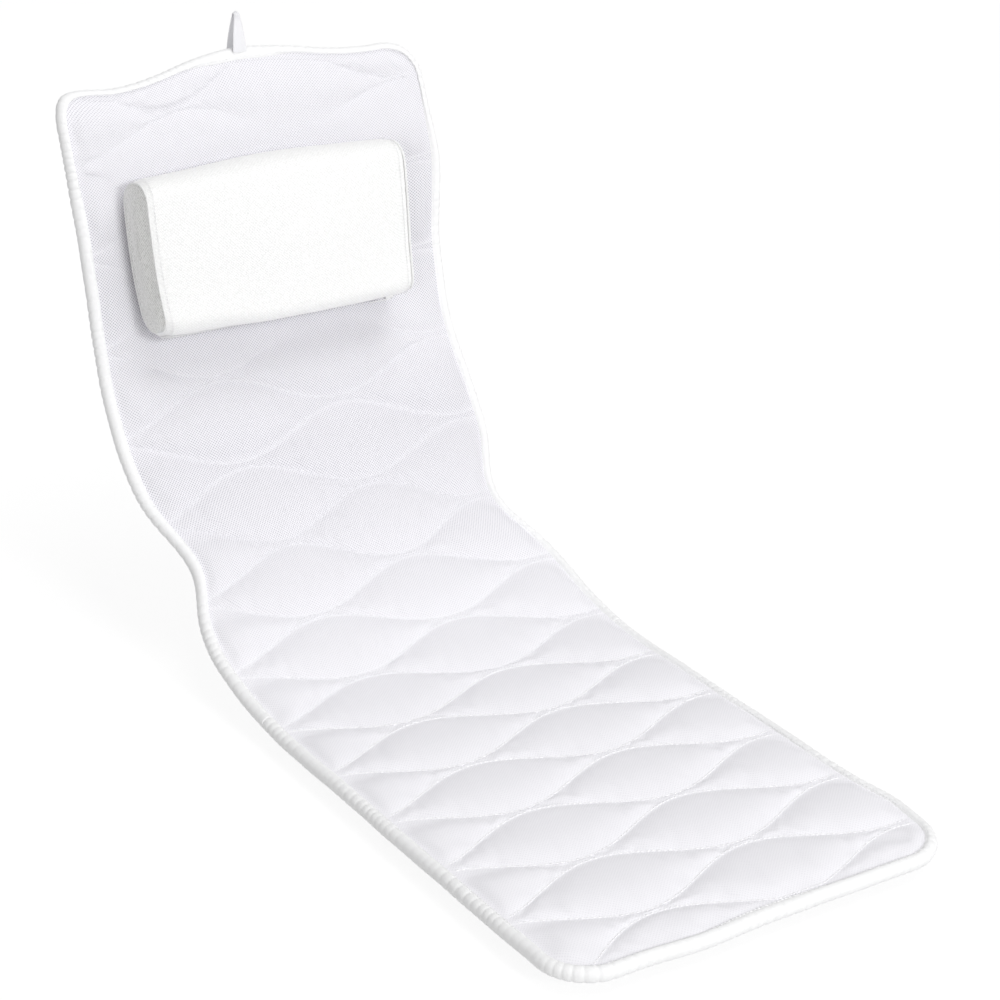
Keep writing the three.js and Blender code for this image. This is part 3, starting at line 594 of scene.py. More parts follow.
def inward_of(x, s):
    """How far a point of the flat mat lies in from its rounded outline."""
    from_side = MAT_WIDTH / 2 - np.abs(x)
    from_end = np.minimum(s, MAT_LENGTH - s)
    dx, ds = CORNER_RADIUS - from_side, CORNER_RADIUS - from_end
    in_corner = (dx > 0) & (ds > 0)
    return np.where(in_corner, CORNER_RADIUS - np.hypot(dx, ds), np.minimum(from_side, from_end))


def rounded_x(x, s):
    """Draws x in towards the middle where the outline's corners are round."""
    radius = CORNER_RADIUS - PAD_INSET
    over = np.clip(CORNER_RADIUS - np.minimum(s, MAT_LENGTH - s), 0, radius)
    return x * (EDGE_X - radius + np.sqrt(radius**2 - over**2)) / EDGE_X


def pressed(x, s):
    """1 where the pillow presses the quilting flat, falling to 0 a little way round it."""
    from_end = np.abs(x - PILLOW_OFFSET) - PILLOW_LENGTH / 2
    from_side = np.maximum(PILLOW_MIDDLE - s, s - PILLOW_MIDDLE - PRESS_ABOVE) - PILLOW_HEIGHT / 2
    beside = np.maximum(from_end, from_side)
    return 1 - smoothstep(beside, PRESS_NEAR, PRESS_FAR)


def quilt():
    """Rows of the quilted face from head to foot: flat points, crowns, fixed points and drawn net, which
    carries painted light over the seat and below the pillow.
    """
    x = np.linspace(-EDGE_X, EDGE_X, PAD_COLUMNS)
    level = np.zeros_like(x)
    rows = []
    for k in range(-1, LAST_LINE + 1):
        near, far = line_at(k, x), line_at(k + 1, x)
        gap = near - far
        fullness = 1 + LEAF_UNEVEN * np.sin(5.1 * k + 0.021 * x)
        flatter = 1 - (1 - CROWN_ON_BACK) * smoothstep(near, *FLATTER_FROM)
        peak = CROWN_HEIGHT * (gap / WIDEST_LEAF) ** NARROW_LEAF_POWER * fullness * flatter
        rows.append((near, level, 1))
        for t in LEAF_STEPS:
            along = near - CHANNEL_WIDTH / 2 - (gap - CHANNEL_WIDTH) * t
            rise = peak * (1 - np.abs(2 * t**CROWN_LEAN - 1) ** CROWN_POWER)
            rows.append((along, rise, max(0, 1 - min(t, 1 - t) / DRAWN_NEAR_LINE)))
    rows.append((line_at(LAST_LINE + 1, x), level, 1))
    s, crowns, drawn = (np.array(values, float) for values in zip(*rows))
    drawn = drawn[:, None]
    across = rounded_x(np.broadcast_to(x, s.shape), s)
    inward = inward_of(across, s)
    fade = smoothstep(inward - BINDING_LAP, EDGE_FLAT, EDGE_RUN)
    crown = crowns * fade
    top = CHANNEL_TOP + crown
    press = pressed(across, s)
    top = top + press * (PRESSED_TOP - top)
    fixed = (drawn > 0) | (inward < BINDING_LAP + 1) | (press > 0.3)
    # closed lightens the net: partly its own tone, partly painted light over the seat and below the pillow,
    # where the pillow's shadow falls
    closed = np.interp(s, *zip(*NET_CLOSED_AND_PAINTED_LIGHT))
    at_line = np.interp(s, *zip(*DRAWN_AT_LINE))
    net = np.maximum(at_line * drawn * (1 - press), closed)
    return np.stack([across, s, top], -1), crown, fixed, net


def backing_of(face, crown):
    """The plain underside below each point of the face, softly puffed between the stitch lines."""
    x, s = face[..., 0], face[..., 1]
    puff = BACKING_PUFF * np.clip(crown / CROWN_HEIGHT, 0, 1)
    for rows in CUP_ROWS.values():
        for row in rows:
            puff = puff * smoothstep(np.hypot(np.abs(x) - CUP_X, s - row), *CUP_CLEAR)
    return np.stack([x, s, -puff], -1)


def pad_piece(name, face, backing, drawn):
    """Closed pad: quilted face above, backing below, and plain walls that the binding covers."""
    rings = np.concatenate([face, backing[:, ::-1]], 1)
    rows, columns = rings.shape[:2]
    faces = grid_faces(rows, columns, closed=True).tolist()
    below = [(f % columns) >= PAD_COLUMNS - 1 for f in range(len(faces))]
    j = np.arange(PAD_COLUMNS - 1)
    for row, order in ((0, 1), (rows - 1, -1)):
        base = row * columns
        wall = np.stack([base + j, base + j + 1, base + columns - 2 - j, base + columns - 1 - j], -1)
        faces += wall[:, ::order].tolist()
        below += [True] * len(wall)
    around = np.concatenate([drawn, drawn], 1)
    uv = rings[..., :2] / 1000
    return make(name, place(rings), faces, [MESH, BACKING], uv, below, crease=50, drawn=around)


face, crown, fixed, drawn = quilt()
count = face.shape[:2]
flat = face.reshape(-1, 3)
blown = simulate(flat, grid_faces(*count), fixed.ravel(), pressure=4, slack=0.012, cap=1.7)
face = blown.reshape(*count, 3)
backing = backing_of(face, crown)
cut = (CUT_LINE + 1) * (len(LEAF_STEPS) + 1)
pad_back = pad_piece("pad_back", face[: cut + 1], backing[: cut + 1], drawn[: cut + 1])
pad_foot = pad_piece("pad_foot", face[cut:], backing[cut:], drawn[cut:])


# Quilting thread


def quilting_thread(name, lines, material, radius):
    x = np.linspace(-LAP_X + 1, LAP_X - 1, 375)
    rings = []
    for k in lines:
        s = line_at(k, x)
        if not 20 < s.mean() < MAT_LENGTH - 20:
            continue
        path = np.stack([rounded_x(x, s), s, np.full_like(x, CHANNEL_TOP + 0.15)], -1)
        across = np.cross(directions(path), UP)
        rings.append(stitches(path, UP, across, pitch=4.6, length=3.5, radius=radius))
    rings = np.concatenate(rings)
    return sew(name, place(rings), rings[..., :2] / 1000, material)


thread_back = quilting_thread("thread_back", range(0, CUT_LINE + 1), NET_THREAD, BACK_THREAD_RADIUS)
foot_lines = range(CUT_LINE + 1, LAST_LINE + 1)
thread_foot = quilting_thread("thread_foot", foot_lines, THREAD, FOOT_THREAD_RADIUS)


# Bound edge


def outline(at_head, from_s):
    """Stations along half of the outline: points, inward directions and distance run, right to left."""
    step = 1.25
    end = MAT_LENGTH if at_head else 0
    sign = 1 if at_head else -1
    middle_x = MAT_WIDTH / 2 - CORNER_RADIUS
    middle_s = end - sign * CORNER_RADIUS
    side = np.arange(from_s, middle_s, sign * step)
    angle = np.linspace(0, np.pi / 2, 60)
    outward = np.stack([np.cos(angle), sign * np.sin(angle)], -1)
    corner = np.array([middle_x, middle_s]) + CORNER_RADIUS * outward
    right = np.concatenate([np.stack([np.full_like(side, MAT_WIDTH / 2), side], -1), corner])
    right_in = np.concatenate([np.tile([-1.0, 0.0], (len(side), 1)), -outward])
    x = np.arange(middle_x - step, -middle_x, -step)
    across = np.stack([x, np.full_like(x, end)], -1)
    across_in = np.tile([0.0, -float(sign)], (len(x), 1))
    mirror = np.array([-1.0, 1.0])
    points = np.concatenate([right, across, right[::-1] * mirror])
    inward = np.concatenate([right_in, across_in, right_in[::-1] * mirror])
    return points, inward, run_along(points)


def binding_section():
    """Section of the folded tape as inward distance, height and share of pucker: outside, then pocket."""
    angle = np.linspace(-np.pi / 2, np.pi / 2, 11)
    roll = [(1 - math.cos(a), math.sin(a)) for a in angle]
    outside = [(13.1, -1.0, 0.2), (11.4, -1.2, 0.1), (9.2, -1.9, 0.8)]
    outside += [(ROLL_RADIUS * depth, ROLL_MIDDLE + ROLL_RADIUS * height, 1) for depth, height in roll]
    outside += [(9.0, 11.8, 0.8), (10.5, 11.0, 0.2), (11.6, 10.7, 0.1), (12.7, 10.4, 0.3), (13.4, 9.3, 0.2)]
    pocket = [(12.8, 9.1), (8, 9.1), (POCKET, 8.8), (POCKET, 0.2), (8, -0.3), (12.8, -0.35)]
    return np.array(outside + [(depth, height, 0) for depth, height in pocket])


def wander(run):
    """Small uneven waves along a sewn edge, the same each time."""
    return np.sin(run / 23.0) * 0.5 + np.sin(run / 9.7 + 1.3) * 0.3 + np.sin(run / 61.0 + 0.4) * 0.6


def pucker(run):
    """Depth of the tape's creases: narrow, unevenly spaced, and deep only in places."""
    turn = run / PUCKER_PITCH + 0.45 * np.sin(run / 37.0) + 0.3 * np.sin(run / 14.0)
    crease = np.exp(-((np.sin(np.pi * turn) / PUCKER_WIDTH) ** 2))
    return PUCKER_DEPTH * crease * (0.3 + 0.7 * np.cos(run / 53.0) ** 2)


def narrowed(points):
    """How much narrower the tape's lap is: a little along the sides, and more towards the head corners."""
    from_loop = smoothstep(np.abs(points[:, 0]), *NARROW_FROM)
    return from_loop * (SIDE_NARROW + HEAD_NARROW * smoothstep(points[:, 1], *NARROW_ABOVE))


def binding_piece(name, at_head, from_s):
    points, inward, run = outline(at_head, from_s)
    section = binding_section()
    grown = 1 - section[None, :, 2] * pucker(run)[:, None] / ROLL_RADIUS
    depth = ROLL_RADIUS + (section[None, :, 0] - ROLL_RADIUS) * grown
    depth = depth + wander(run)[:, None] * 0.5
    depth = depth - narrowed(points)[:, None] * smoothstep(section[None, :, 0], ROLL_RADIUS, BINDING_LAP)
    height = ROLL_MIDDLE + (section[None, :, 1] - ROLL_MIDDLE) * grown
    flat = points[:, None] + inward[:, None] * depth[..., None]
    rings = np.concatenate([flat, height[..., None]], -1)
    uv = cloth_uv(run_along(section[:, :2])[None, :], run[:, None])
    if not at_head:
        rings, uv = rings[:, ::-1], uv[:, ::-1]
    return make(name, place(rings), capped(rings), TAPE, uv, crease=60)


def binding_thread(name, at_head, from_s):
    """Stitches that hold the tape, above and below."""
    points, inward, _ = outline(at_head, from_s)
    lap = BINDING_STITCH - narrowed(points) * smoothstep(BINDING_STITCH, ROLL_RADIUS, BINDING_LAP)
    rings = []
    for height, up in ((10.85, 1.0), (-1.2, -1.0)):
        path = np.concatenate([points + inward * lap[:, None], np.full((len(points), 1), height)], 1)
        across = np.concatenate([inward, np.zeros((len(points), 1))], 1)
        rings.append(stitches(path, up * UP, across * up, pitch=4, length=3, radius=0.4))
    rings = np.concatenate(rings)
    rings = rings if at_head else rings[:, :, ::-1]
    return sew(name, place(rings), rings[..., :2] / 1000, THREAD)


CUT_S = MAT_LENGTH - FIRST_LINE_FROM_HEAD - CUT_LINE * QUILT_PITCH
binding_back = binding_piece("binding_back", True, CUT_S)
binding_foot = binding_piece("binding_foot", False, CUT_S)
edge_thread_back = binding_thread("edge_thread_back", True, CUT_S)
edge_thread_foot = binding_thread("edge_thread_foot", False, CUT_S)


# Head pillow


def lower_ease(x):
    """How far the pillow's lower side rounds off towards its ends."""
    end_run = np.clip((np.abs(x) - PILLOW_LENGTH / 2) / END_EASE_RUN + 1, 0, 1)
    return np.where(x < 0, LOWER_EASE, RIGHT_LOWER_EASE) * (1 - np.sqrt(1 - end_run**2))


def pillow_section(x, offset):
    """Closed section of the pillow at x from its middle, set in by offset: along the mat and height."""
    end_run = np.clip((abs(x) - PILLOW_LENGTH / 2) / END_EASE_RUN + 1, 0, 1)
    ease = 1 - math.sqrt(1 - end_run**2)
    upper = PILLOW_HEIGHT / 2 + UPPER_RISE - UPPER_EASE * ease - offset
    lower = PILLOW_HEIGHT / 2 - float(lower_ease(x)) - offset
    dome = 1 - (2 * x / PILLOW_LENGTH) ** 2
    front = PILLOW_BASE + PILLOW_END_DEPTH + (PILLOW_MID_DEPTH - PILLOW_END_DEPTH) * dome - offset
    back = PILLOW_BASE + offset
    front_radius = max(FRONT_RADIUS - offset, 1)
    low_radius, high_radius = (
        max(radius + (END_BACK_RADIUS - radius) * end_run**2 - offset, 1)
        for radius in (LOWER_BACK_RADIUS, UPPER_BACK_RADIUS)
    )

    def arc(a, h, radius, start):
        angle = start - np.linspace(0, np.pi / 2, 12)
        return np.stack([a + radius * np.cos(angle), h + radius * np.sin(angle)], -1)

    flat = (upper + lower) / 2 - front_radius
    f = np.linspace(-1, 1, 40)[1:-1]
    crown = np.stack([(upper - lower) / 2 + f * flat, front + FRONT_CROWN * dome * (1 - f**2)], -1)
    line = np.concatenate([
        [[0, back]],
        arc(-lower + low_radius, back + low_radius, low_radius, -np.pi / 2),
        arc(-lower + front_radius, front - front_radius, front_radius, np.pi),
        crown,
        arc(upper - front_radius, front - front_radius, front_radius, np.pi / 2),
        arc(upper - high_radius, back + high_radius, high_radius, 0),
        [[0, back]],
    ])
    above_zip = smoothstep(line[:, 1], PILLOW_BASE + ZIP_LOW + ZIP_WIDTH, front + offset)
    sag = LOWER_SAG + (LEFT_SAG - LOWER_SAG) * smoothstep(-x, *LEFT_SAG_FROM)
    line[:, 0] -= sag * above_zip * np.clip(-line[:, 0] / lower, 0, 1)
    run = run_along(line)
    at = np.linspace(0, run[-1], SECTION_POINTS, endpoint=False)
    return np.stack([np.interp(at, run, line[:, i]) for i in (0, 1)], -1), at


def pillow_ring(x, offset, bulge=0.0):
    section, at = pillow_section(x, offset)
    t = section[:, 0] / (PILLOW_HEIGHT / 2)
    rise = np.clip((section[:, 1] - PILLOW_BASE) / PILLOW_END_DEPTH, 0, 1)
    left = -LEFT_BOW * (1 - LEFT_BOW_FALL * (t - LEFT_BOW_MIDDLE) ** 2)
    left = left * (1 - (1 - LEFT_BOW_AT_FRONT) * rise)
    bow = left if x < 0 else -RIGHT_DRAW + RIGHT_LEAN * t - RIGHT_ROUND * t**2
    across = PILLOW_OFFSET + x + bulge + bow * smoothstep(abs(x), BOW_FROM, SEAM_X)
    return np.column_stack([across, PILLOW_MIDDLE + section[:, 0], section[:, 1]]), at


def pillow_cover():
    """Boxed cover, blown up over its foam: wrap, back and end panels, held at the seams, zip and back."""
    stations = np.concatenate([-SEAM_X + np.array([0, 1.5, 3.5, 6.5, 11, 17]), np.linspace(-118, 118, 48)])
    stations = np.concatenate([stations, SEAM_X - np.array([17, 11, 6.5, 3.5, 1.5, 0])])
    rings, uvs = [], []

    def end(side, offsets):
        for offset in offsets:
            bulge = side * (0.6 + END_BULGE * math.sin(math.pi / 2 * min(1, offset / 24)))
            flat, _ = pillow_ring(side * SEAM_X, offset, bulge)
            rings.append(flat)
            uvs.append(np.column_stack([flat[:, 2] + 300, flat[:, 1]]))

    end(-1, END_INSETS)
    for x in stations:
        flat, at = pillow_ring(x, COVER_INSET)
        rings.append(flat)
        uvs.append(np.column_stack([np.full(len(at), x), at]))
    end(1, END_INSETS[::-1])
    rings, uv = np.array(rings), np.array(uvs) / 1000
    faces = capped(rings)
    ends = len(END_INSETS)
    at_end = np.array([f[0] // rings.shape[1] for f in faces])
    at_end = (at_end < ends) | (at_end >= ends + len(stations) - 1)
    seam = np.zeros(rings.shape[:2], bool)
    seam[[ends - 1, ends, ends + 1]] = True
    seam[[-ends - 2, -ends - 1, -ends]] = True
    resting = rings[..., 2] < PILLOW_BASE + 3
    low_side = rings[..., 1] < PILLOW_MIDDLE - PILLOW_HEIGHT / 2 + 12
    zip_zone = low_side & (rings[..., 2] < PILLOW_BASE + ZIP_LOW + ZIP_WIDTH + 3)
    held = seam | resting | zip_zone
    blown = simulate(rings.reshape(-1, 3), faces, held.ravel(), pressure=1.5, slack=0, cap=3)
    moved = blown.reshape(rings.shape) - rings
    moved[:3] = moved[3].mean(0)
    moved[-3:] = moved[-4].mean(0)
    return make("pillow_cover", place(rings + moved), faces, [KNIT, END_KNIT_PAINTED_SHADE], uv, at_end, crease=70)


def piping(side):
    """Round cord sewn into the seam round one end."""
    name = "pillow_piping_left" if side < 0 else "pillow_piping_right"
    path, at = pillow_ring(side * (PILLOW_LENGTH / 2 - PIPING_RADIUS - 0.3), PIPING_RADIUS - 0.4)
    along = np.roll(path, -1, 0) - np.roll(path, 1, 0)
    along /= np.linalg.norm(along, axis=1, keepdims=True)
    angle = circle(PIPING_SIDES)
    beside = ACROSS * (PIPING_RADIUS * np.cos(angle))[None, :, None]
    outward = np.cross(along, ACROSS)[:, None] * (PIPING_RADIUS * np.sin(angle))[None, :, None]
    rings = path[:, None] + beside + outward
    uv = cloth_uv(np.arange(PIPING_SIDES)[None, :] * 1.25, at[:, None])
    faces = grid_faces(len(rings), PIPING_SIDES, closed=True, looped=True)[:, ::-1]
    return make("cover_" + name, place(rings), faces, KNIT, uv)


def seam_thread():
    rings = []
    for side in (-1, 1):
        path, _ = pillow_ring(side * (SEAM_X - 4.6), 0.2)
        path = np.concatenate([path, path[:1]])
        out = np.cross(directions(path), ACROSS)
        rings.append(stitches(path, out, ACROSS, pitch=3.8, length=2.8, radius=0.35))
    rings = np.concatenate(rings)
    return sew("seam_thread", place(rings), rings[..., :2] / 1000, THREAD, order=-1)


pillow = pillow_cover()
pipings = [piping(-1), piping(1)]
seams = seam_thread()


# Zip on the pillow's lower side: x is from the pillow's middle, out is the distance from that side


def on_zip(x, out, height):
    x, out, height = np.broadcast_arrays(x, out, height)
    side = PILLOW_MIDDLE - PILLOW_HEIGHT / 2 + lower_ease(x) + TAPE_SEAT
    return np.stack([PILLOW_OFFSET + x, side - out, ZIP_MIDDLE + height], -1)


def zip_tape_piece():
    """Two woven tapes that meet under the coil."""
    ends = ZIP_HALF - np.arange(0, 24, 3.0)
    x = np.concatenate([-ends, np.linspace(-ends[-1] + 3, ends[-1] - 3, 30), ends[:2:-1]])
    edge = ZIP_WIDTH / 2 - 0.4
    half = [(0, 0.3), (1.2, 0.6), (edge - 0.8, 0.55), (edge, 0.35), (edge, -0.3)]
    section = np.array([(-height, out) for height, out in half[:0:-1]] + half)
    sunk = TAPE_END_SUNK * smoothstep(x, x[-1] - 3, x[-1])
    rings = on_zip(x[:, None], section[None, :, 1] - sunk[:, None], section[None, :, 0])
    uv = cloth_uv(x[:, None], section[None, :, 0])
    return make("cover_zip_tape", place(rings), capped(rings), ZIP_TAPE, uv, crease=40)


def zip_coil():
    """Interlocking teeth, turn by turn."""
    teeth = np.arange(-ZIP_HALF + 1, ZIP_HALF - 9.9, 2.0)
    sides = np.where(np.arange(len(teeth)) % 2 == 0, 1.0, -1.0)
    bend = [(-1.7, 0.5, 0.3), (-1.2, 1, 0.55), (0, 1.25, 0.6), (1.2, 1, 0.55), (1.5, 0.5, 0.3)]
    bend = np.array(bend)
    angle = circle(6)
    x = teeth[:, None, None] + (bend[:, 2][:, None] * np.cos(angle))[None]
    out = bend[:, 1][:, None] + bend[:, 2][:, None] * np.sin(angle) * 0.4
    height = sides[:, None, None] * np.broadcast_to(bend[:, 0][None, :, None], x.shape)
    rings = on_zip(x, np.broadcast_to(out[None], x.shape), height)
    faces = []
    for i, tooth in enumerate(rings):
        faces += capped(tooth, i * tooth.shape[0] * tooth.shape[1])
    return make("zip_coil", place(rings), faces, ZIP_PLASTIC, crease=50)


def rounded_plate(outline_points, layers):
    """Rings of a plate: the outline set in by each layer's inset, at each layer's height."""
    outline_points = np.asarray(outline_points, float)
    middle = outline_points.mean(0)
    rings = []
    for inset, height in layers:
        reach = outline_points - middle
        size = np.linalg.norm(reach, axis=1, keepdims=True)
        flat = middle + reach * (1 - inset / np.maximum(size, inset + 1e-6))
        rings.append(np.column_stack([flat, np.full(len(flat), height)]))
    return np.array(rings)


def zip_slider_piece():
    """Slider with flared wings and a bridge for its pull."""
    wing = [(-5, 2.3), (-1.5, 2.5), (3, 3.2), (4.6, 3.0), (5, 1.2)]
    wings = [(x, -edge) for x, edge in wing] + wing[::-1]
    body = rounded_plate(wings, [(0.3, 1.85), (0, 2.1), (0, 2.75), (0.35, 3.1)])
    bridge_line = [(-3.2, 2.9), (-2.8, 4.1), (-1.4, 4.75), (1.4, 4.75), (2.8, 4.1), (3.2, 2.9)]
    angle = circle(8)
    ring = np.column_stack([0.35 * np.cos(angle), 0.9 * np.sin(angle), np.zeros(8)])
    bridge = np.array([ring + (x, 0, out) for x, out in bridge_line])
    cheeks = []
    for side in (-1, 1):
        plate = [(-4.4, side * 2.2), (4.0, side * 2.7), (4.0, side * 3.05), (-4.4, side * 2.5)]
        cheeks.append(rounded_plate(plate, [(0.1, -0.5), (0, -0.2), (0, 2.2)]))
    points, faces = [], []
    for rings in (body, bridge, *cheeks):
        faces += capped(rings, sum(len(p) for p in points))
        flat = rings.reshape(-1, 3)
        points.append(on_zip(SLIDER_FROM_MIDDLE + flat[:, 0], flat[:, 2] + SLIDER_LIFT, flat[:, 1]))
    return make("cover_zip_slider", place(np.concatenate(points)), faces, ZIP_PLASTIC, crease=40)


def zip_pull_piece():
    """Flat pull with a round end and an eye."""
    steps = np.linspace(np.pi / 2, 3 * np.pi / 2, 13)
    side = [(-12, 1.9), (-5, 1.9), (-1.2, 2.4), (0.0, 1.8)]
    outer = [(-19.2 + 2.6 * math.cos(a), 2.6 * math.sin(a)) for a in steps]
    outer += [(x, -edge) for x, edge in side] + [(0.3, 0)] + side[::-1]
    outer = np.array(outer)
    turn = np.arctan2(outer[:, 1], outer[:, 0] + 10)
    inner = np.column_stack([-17.6 + 2.6 * np.cos(turn), 1.1 * np.sin(turn)])
    levels = ((outer, 3.9), (outer, 4.5), (inner, 4.6), (inner, 3.8))
    rings = np.array([np.column_stack([line, np.full(len(line), height)]) for line, height in levels])
    flat = on_zip(SLIDER_FROM_MIDDLE + rings[..., 0], rings[..., 2] + SLIDER_LIFT, rings[..., 1])
    faces = grid_faces(4, len(outer), closed=True, looped=True)
    return make("cover_zip_pull", place(flat), faces, ZIP_PLASTIC, crease=35)


zip_tape = zip_tape_piece()
coil = zip_coil()
slider = zip_slider_piece()
pull = zip_pull_piece()


# Hook and loop strips between the pillow and the mat


def strip_piece(name, along, low):
    end = STRIP_LENGTH / 2
    x = np.concatenate([[-end], np.linspace(-end + 2, end - 2, 40), [end]])
    end_in = np.where(np.abs(x) > end - 1, 1.6, 0)
    half, top = STRIP_WIDTH / 2, STRIP_THICKNESS
    upper = [(-half, 0.1), (-half, top - 0.4), (-half + 0.5, top), (0, top)]
    section = np.array(upper + [(-a, h) for a, h in upper[2::-1]] + [(0, 0.05)])
    edge = np.sign(section[:, 0]) * np.maximum(np.abs(section[:, 0])[None, :] - end_in[:, None], 0)
    s = PILLOW_MIDDLE + along + edge
    rings = np.stack(np.broadcast_arrays(PILLOW_OFFSET + x[:, None], s, low + section[None, :, 1]), -1)
    uv = rings[..., :2] / 1000
    return make(name, place(rings), capped(rings), NYLON, uv, crease=50)


strips = {}
for level, side in (("upper", 1), ("lower", -1)):
    along = side * STRIP_SPACING / 2
    for kind, low in (("loop", STRIP_SEAT), ("hook", STRIP_SEAT + STRIP_THICKNESS + STRIP_GAP)):
        node = f"{kind}_strip_{level}"
        strips[node] = strip_piece("cover_" + node, along, low)


# Hanging loop


def loop_piece():
    """Ribbon folded over the rolled head edge: two legs that narrow to a creased tip, standing upright."""
    start = ROLL_RADIUS + 0.3
    foot_h, foot_t = start * math.sin(LOOP_SPREAD), start * math.cos(LOOP_SPREAD)
    tip = LOOP_HEIGHT + ROLL_RADIUS - LOOP_TIP_RADIUS
    rise = np.linspace(0, 1, 20)[:-1]
    mid = LOOP_TIP_RADIUS - RIBBON_THICKNESS / 2
    thick = RIBBON_THICKNESS / 2
    leg_h = foot_h + thick + (mid - foot_h - thick) * rise**1.4
    legs = np.stack([leg_h, foot_t + (tip - foot_t) * rise], -1)
    angle = np.linspace(0, np.pi, 11)
    cap = np.stack([mid * np.cos(angle), tip + mid * np.sin(angle)], -1)
    line = np.concatenate([legs, cap, legs[::-1] * [-1, 1]])
    along = directions(line)
    out = np.stack([along[:, 1], -along[:, 0]], -1)
    upper = [(-1, 0.3), (-0.92, 1), (-0.45, 1), (0, 1), (0.45, 1), (0.92, 1), (1, 0.3)]
    section = np.array(upper + [(a, -b) for a, b in upper[::-1]])
    raised = np.clip((line[:, 1] - foot_t) / (tip - foot_t), 0, 1)
    half = (LOOP_FOOT_WIDTH + (LOOP_TIP_WIDTH - LOOP_FOOT_WIDTH) * raised**1.5) / 2
    fold = LOOP_TIP_CREASE * raised[:, None] ** 3 * (1 - np.abs(section[None, :, 0]))
    offset = line[:, None] + out[:, None] * (section[None, :, 1] * thick + fold)[..., None]
    x = half[:, None] * section[None, :, 0]
    local = np.stack([x, offset[..., 1], offset[..., 0]], -1)
    upright = Matrix.Rotation(math.pi / 2, 4, "X")
    axis = Matrix.Translation(place((0, MAT_LENGTH - ROLL_RADIUS, ROLL_MIDDLE)))
    uv = cloth_uv(x, run_along(line)[:, None])
    return make("cover_hanging_loop", stand(axis @ upright, local), capped(local), RIBBON, uv, crease=40)


loop = loop_piece()


# Suction cups, each buttoned through a sewn patch


CUP_PROFILE = [
    (0.01, -0.9), (5.5, -0.8), (7.0, -1.3), (7.5, -2.1), (6.9, -3.0), (4.4, -3.25), (4, -3.7),
    (4, -4.7), (5.0, -5.1), (9.5, -5.6), (13.5, -7.6), (17, -11.4), (18.7, -13.1), (19, -13.7),
    (18.8, -14.0), (16.5, -14.0), (16.0, -13.7), (14.5, -12.3), (11, -10.8), (6, -10.1), (0.01, -9.9),
]
PATCH_PROFILE = [
    (17, -0.35), (16.9, -0.85), (15.2, -1.2), (PATCH_STITCH, -1.05), (13.2, -1.35), (10.6, -3.0),
    (9.0, -4.2), (7.5, -4.65), (4.6, -4.7), (4.3, -4.4), (4.4, -3.6), (7.9, -3.5), (8.7, -0.4),
]


def cup_set(zone):
    """Cups, patches and patch stitching of one panel, as three pieces."""
    places = [(x, row) for row in CUP_ROWS[zone] for x in (-CUP_X, CUP_X)]
    cups, patches, threads = [], [], []
    for x, row in places:
        standing = frame_at(x, row)
        cups.append(turned(CUP_PROFILE, standing, CUP_STEPS))
        patches.append(turned(PATCH_PROFILE, standing, CUP_STEPS))
        turn = np.linspace(0, 2 * np.pi, 90)
        outward = np.column_stack([np.cos(turn), np.sin(turn), np.zeros_like(turn)])
        ring = PATCH_STITCH * outward + [0, 0, -1.1]
        sewn = stitches(ring, -UP, outward, pitch=3.6, length=2.6, radius=0.35)
        threads.append(stand(standing, sewn))
    cup_faces, patch_faces = [], []
    for i in range(len(places)):
        cup_faces += [f[::-1] for f in capped(cups[i], i * cups[i].shape[0] * CUP_STEPS)]
        rows, first = len(PATCH_PROFILE), i * len(PATCH_PROFILE) * CUP_STEPS
        patch_faces += grid_faces(rows, CUP_STEPS, first, closed=True, looped=True)[:, ::-1].tolist()
    threads = np.concatenate(threads)
    flat_uv = np.array(patches)[..., :2]
    cup_piece = make(zone + "_cups", np.array(cups), cup_faces, VINYL, crease=60)
    patch_piece = make(zone + "_patches", np.array(patches), patch_faces, BACKING, flat_uv, crease=60)
    thread_piece = sew(zone + "_patch_thread", threads, threads[..., :2], THREAD)
    for piece in (cup_piece, patch_piece, thread_piece):
        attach(piece, zone)
    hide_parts(*[f"{zone}_cup_{i}" for i in range(1, 5)])
    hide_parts(*[f"{zone}_patch_{i}" for i in range(1, 5)])


for zone in CUP_ROWS:
    cup_set(zone)


# Bodies that the pillow, zip, strips and loop follow, and the solids that the pieces stand for


def layers(zone):
    return [f"{zone}_{layer}" for layer in ("face", "fill", "backing")]


for piece in (pad_foot, thread_foot, binding_foot, edge_thread_foot):
    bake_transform(piece)
for piece in (pad_back, thread_back, binding_back, edge_thread_back):
    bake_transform(piece)
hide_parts(*layers("foot"), *layers("seat"))
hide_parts(*layers("seat"), *layers("bend"), *layers("back"))
seat_sides = ["seat_binding_left", "seat_binding_right"]
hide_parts("foot_binding", *seat_sides)
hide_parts("back_binding", "bend_binding_left", "bend_binding_right", *seat_sides)

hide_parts("pillow_core", "pillow_wrap", "pillow_back_panel", "pillow_end_left", "pillow_end_right")
for piece, node in zip(pipings, ("pillow_piping_left", "pillow_piping_right")):
    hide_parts(node)
for piece in (pillow, seams, *pipings):
    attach(piece, "pillow")
for piece in (zip_tape, coil):
    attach(piece, "pillow")
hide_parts("zip_tape")
for piece, body in ((slider, "zip_slider"), (pull, "zip_pull")):
    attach(piece, body)
    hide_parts(body)
for node, piece in strips.items():
    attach(piece, "pillow" if node.startswith("hook") else "back")
    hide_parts(node)
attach(loop, "hanging_loop")
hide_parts("hanging_loop")


# Floor, light and camera

FLOOR_SIZE = 30
FLOOR_GAP = 0.0005
AMBIENT = 0.37
corners = np.array([(-1, -1, 0), (1, -1, 0), (1, 1, 0), (-1, 1, 0)], float) * FLOOR_SIZE / 2
floor = make("floor", corners - [0, 0, FLOOR_GAP], [[0, 1, 2, 3]], floor_look())


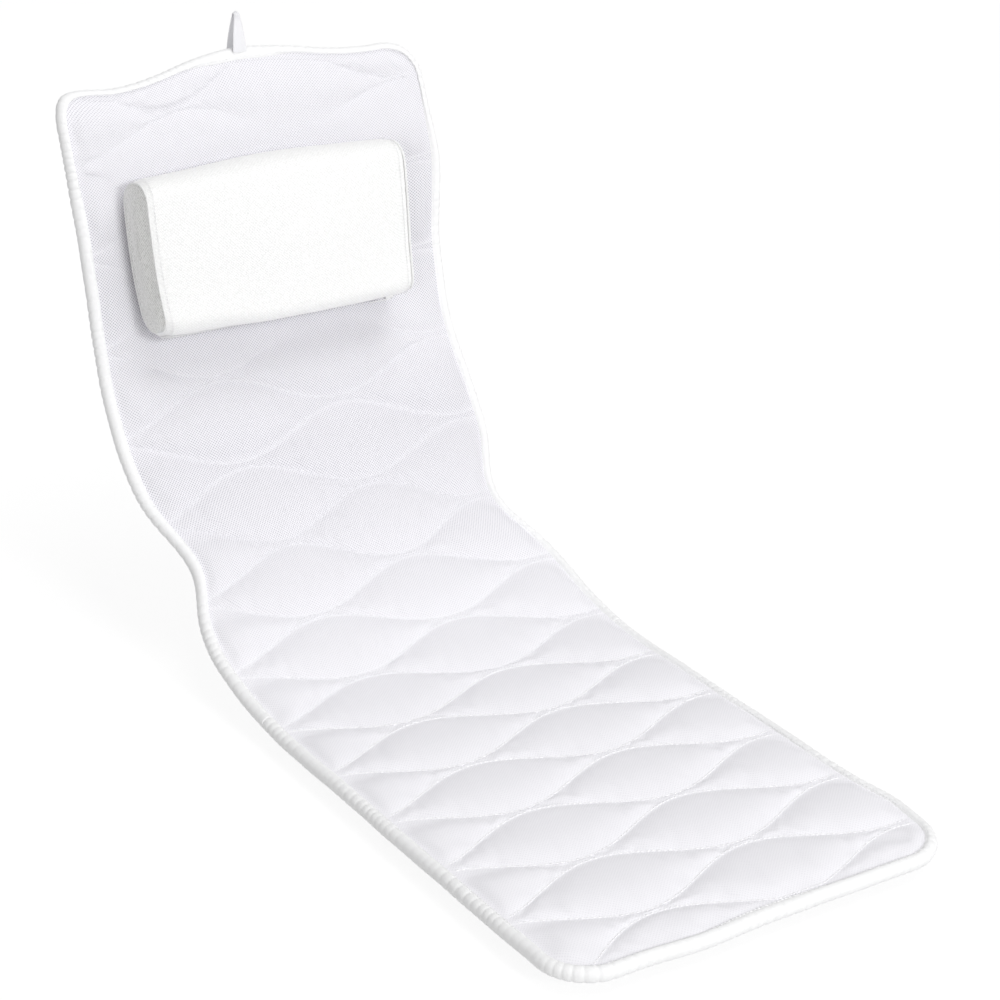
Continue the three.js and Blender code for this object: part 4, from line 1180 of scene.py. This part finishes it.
def world_light():
    """Even white surroundings: white to the camera and to reflections, dimmer as a light."""
    scene.world = bpy.data.worlds.new("surroundings")
    scene.world.use_nodes = True
    look = Nodes(scene.world.node_tree)
    ambient = look.tree.nodes["Background"]
    ambient.inputs[0].default_value = (1, 1, 1, 1)
    ambient.inputs[1].default_value = AMBIENT
    white = look.node("ShaderNodeBackground", {0: (1, 1, 1, 1)})
    mix = look.node("ShaderNodeMixShader", {0: look.seen(), 1: ambient.outputs[0], 2: white.outputs[0]})
    look.tree.links.new(mix.outputs[0], look.tree.nodes["World Output"].inputs[0])


def lamp(name, place_at, aim, power, size):
    data = bpy.data.lights.new(name, "AREA")
    data.shape = "DISK"
    data.size = size
    data.energy = power
    obj = add(name, data)
    obj.location = place_at
    obj.rotation_euler = (Vector(aim) - Vector(place_at)).to_track_quat("-Z", "Y").to_euler()


world_light()
lamp("key", (0.9, -6.9, 3.2), aim=(0, 0.1, 0.25), power=187, size=1.6)
lamp("fill", (-4.2, -4.5, 2.2), aim=(0, 0.1, 0.25), power=42, size=2)
lamp("top", (1.2, -1.2, 5.5), aim=(0, 0.1, 0.2), power=122, size=4)


# Camera at the photograph's place: metres, the direction it looks in, degrees, pixels and millimetres
CAMERA_PLACE = (-1.1994, -1.8572, 1.1899)
CAMERA_FORWARD = (0.504, 0.7636, -0.4036)
CAMERA_ROLL = 1.09
FOCAL_PIXELS = 2686.5
IMAGE_PIXELS = 1000
SENSOR_WIDTH = 36

camera_data = bpy.data.cameras.new("camera")
camera_data.sensor_width = SENSOR_WIDTH
camera_data.lens = FOCAL_PIXELS / IMAGE_PIXELS * SENSOR_WIDTH
camera = add("camera", camera_data)
forward = Vector(CAMERA_FORWARD).normalized()
upright = forward.to_track_quat("-Z", "Y").to_matrix()
turn = Matrix.Rotation(math.radians(CAMERA_ROLL), 3, "Z")
camera.matrix_world = Matrix.Translation(CAMERA_PLACE) @ (upright @ turn).to_4x4()
scene.camera = camera
scene.view_settings.view_transform = "Standard"
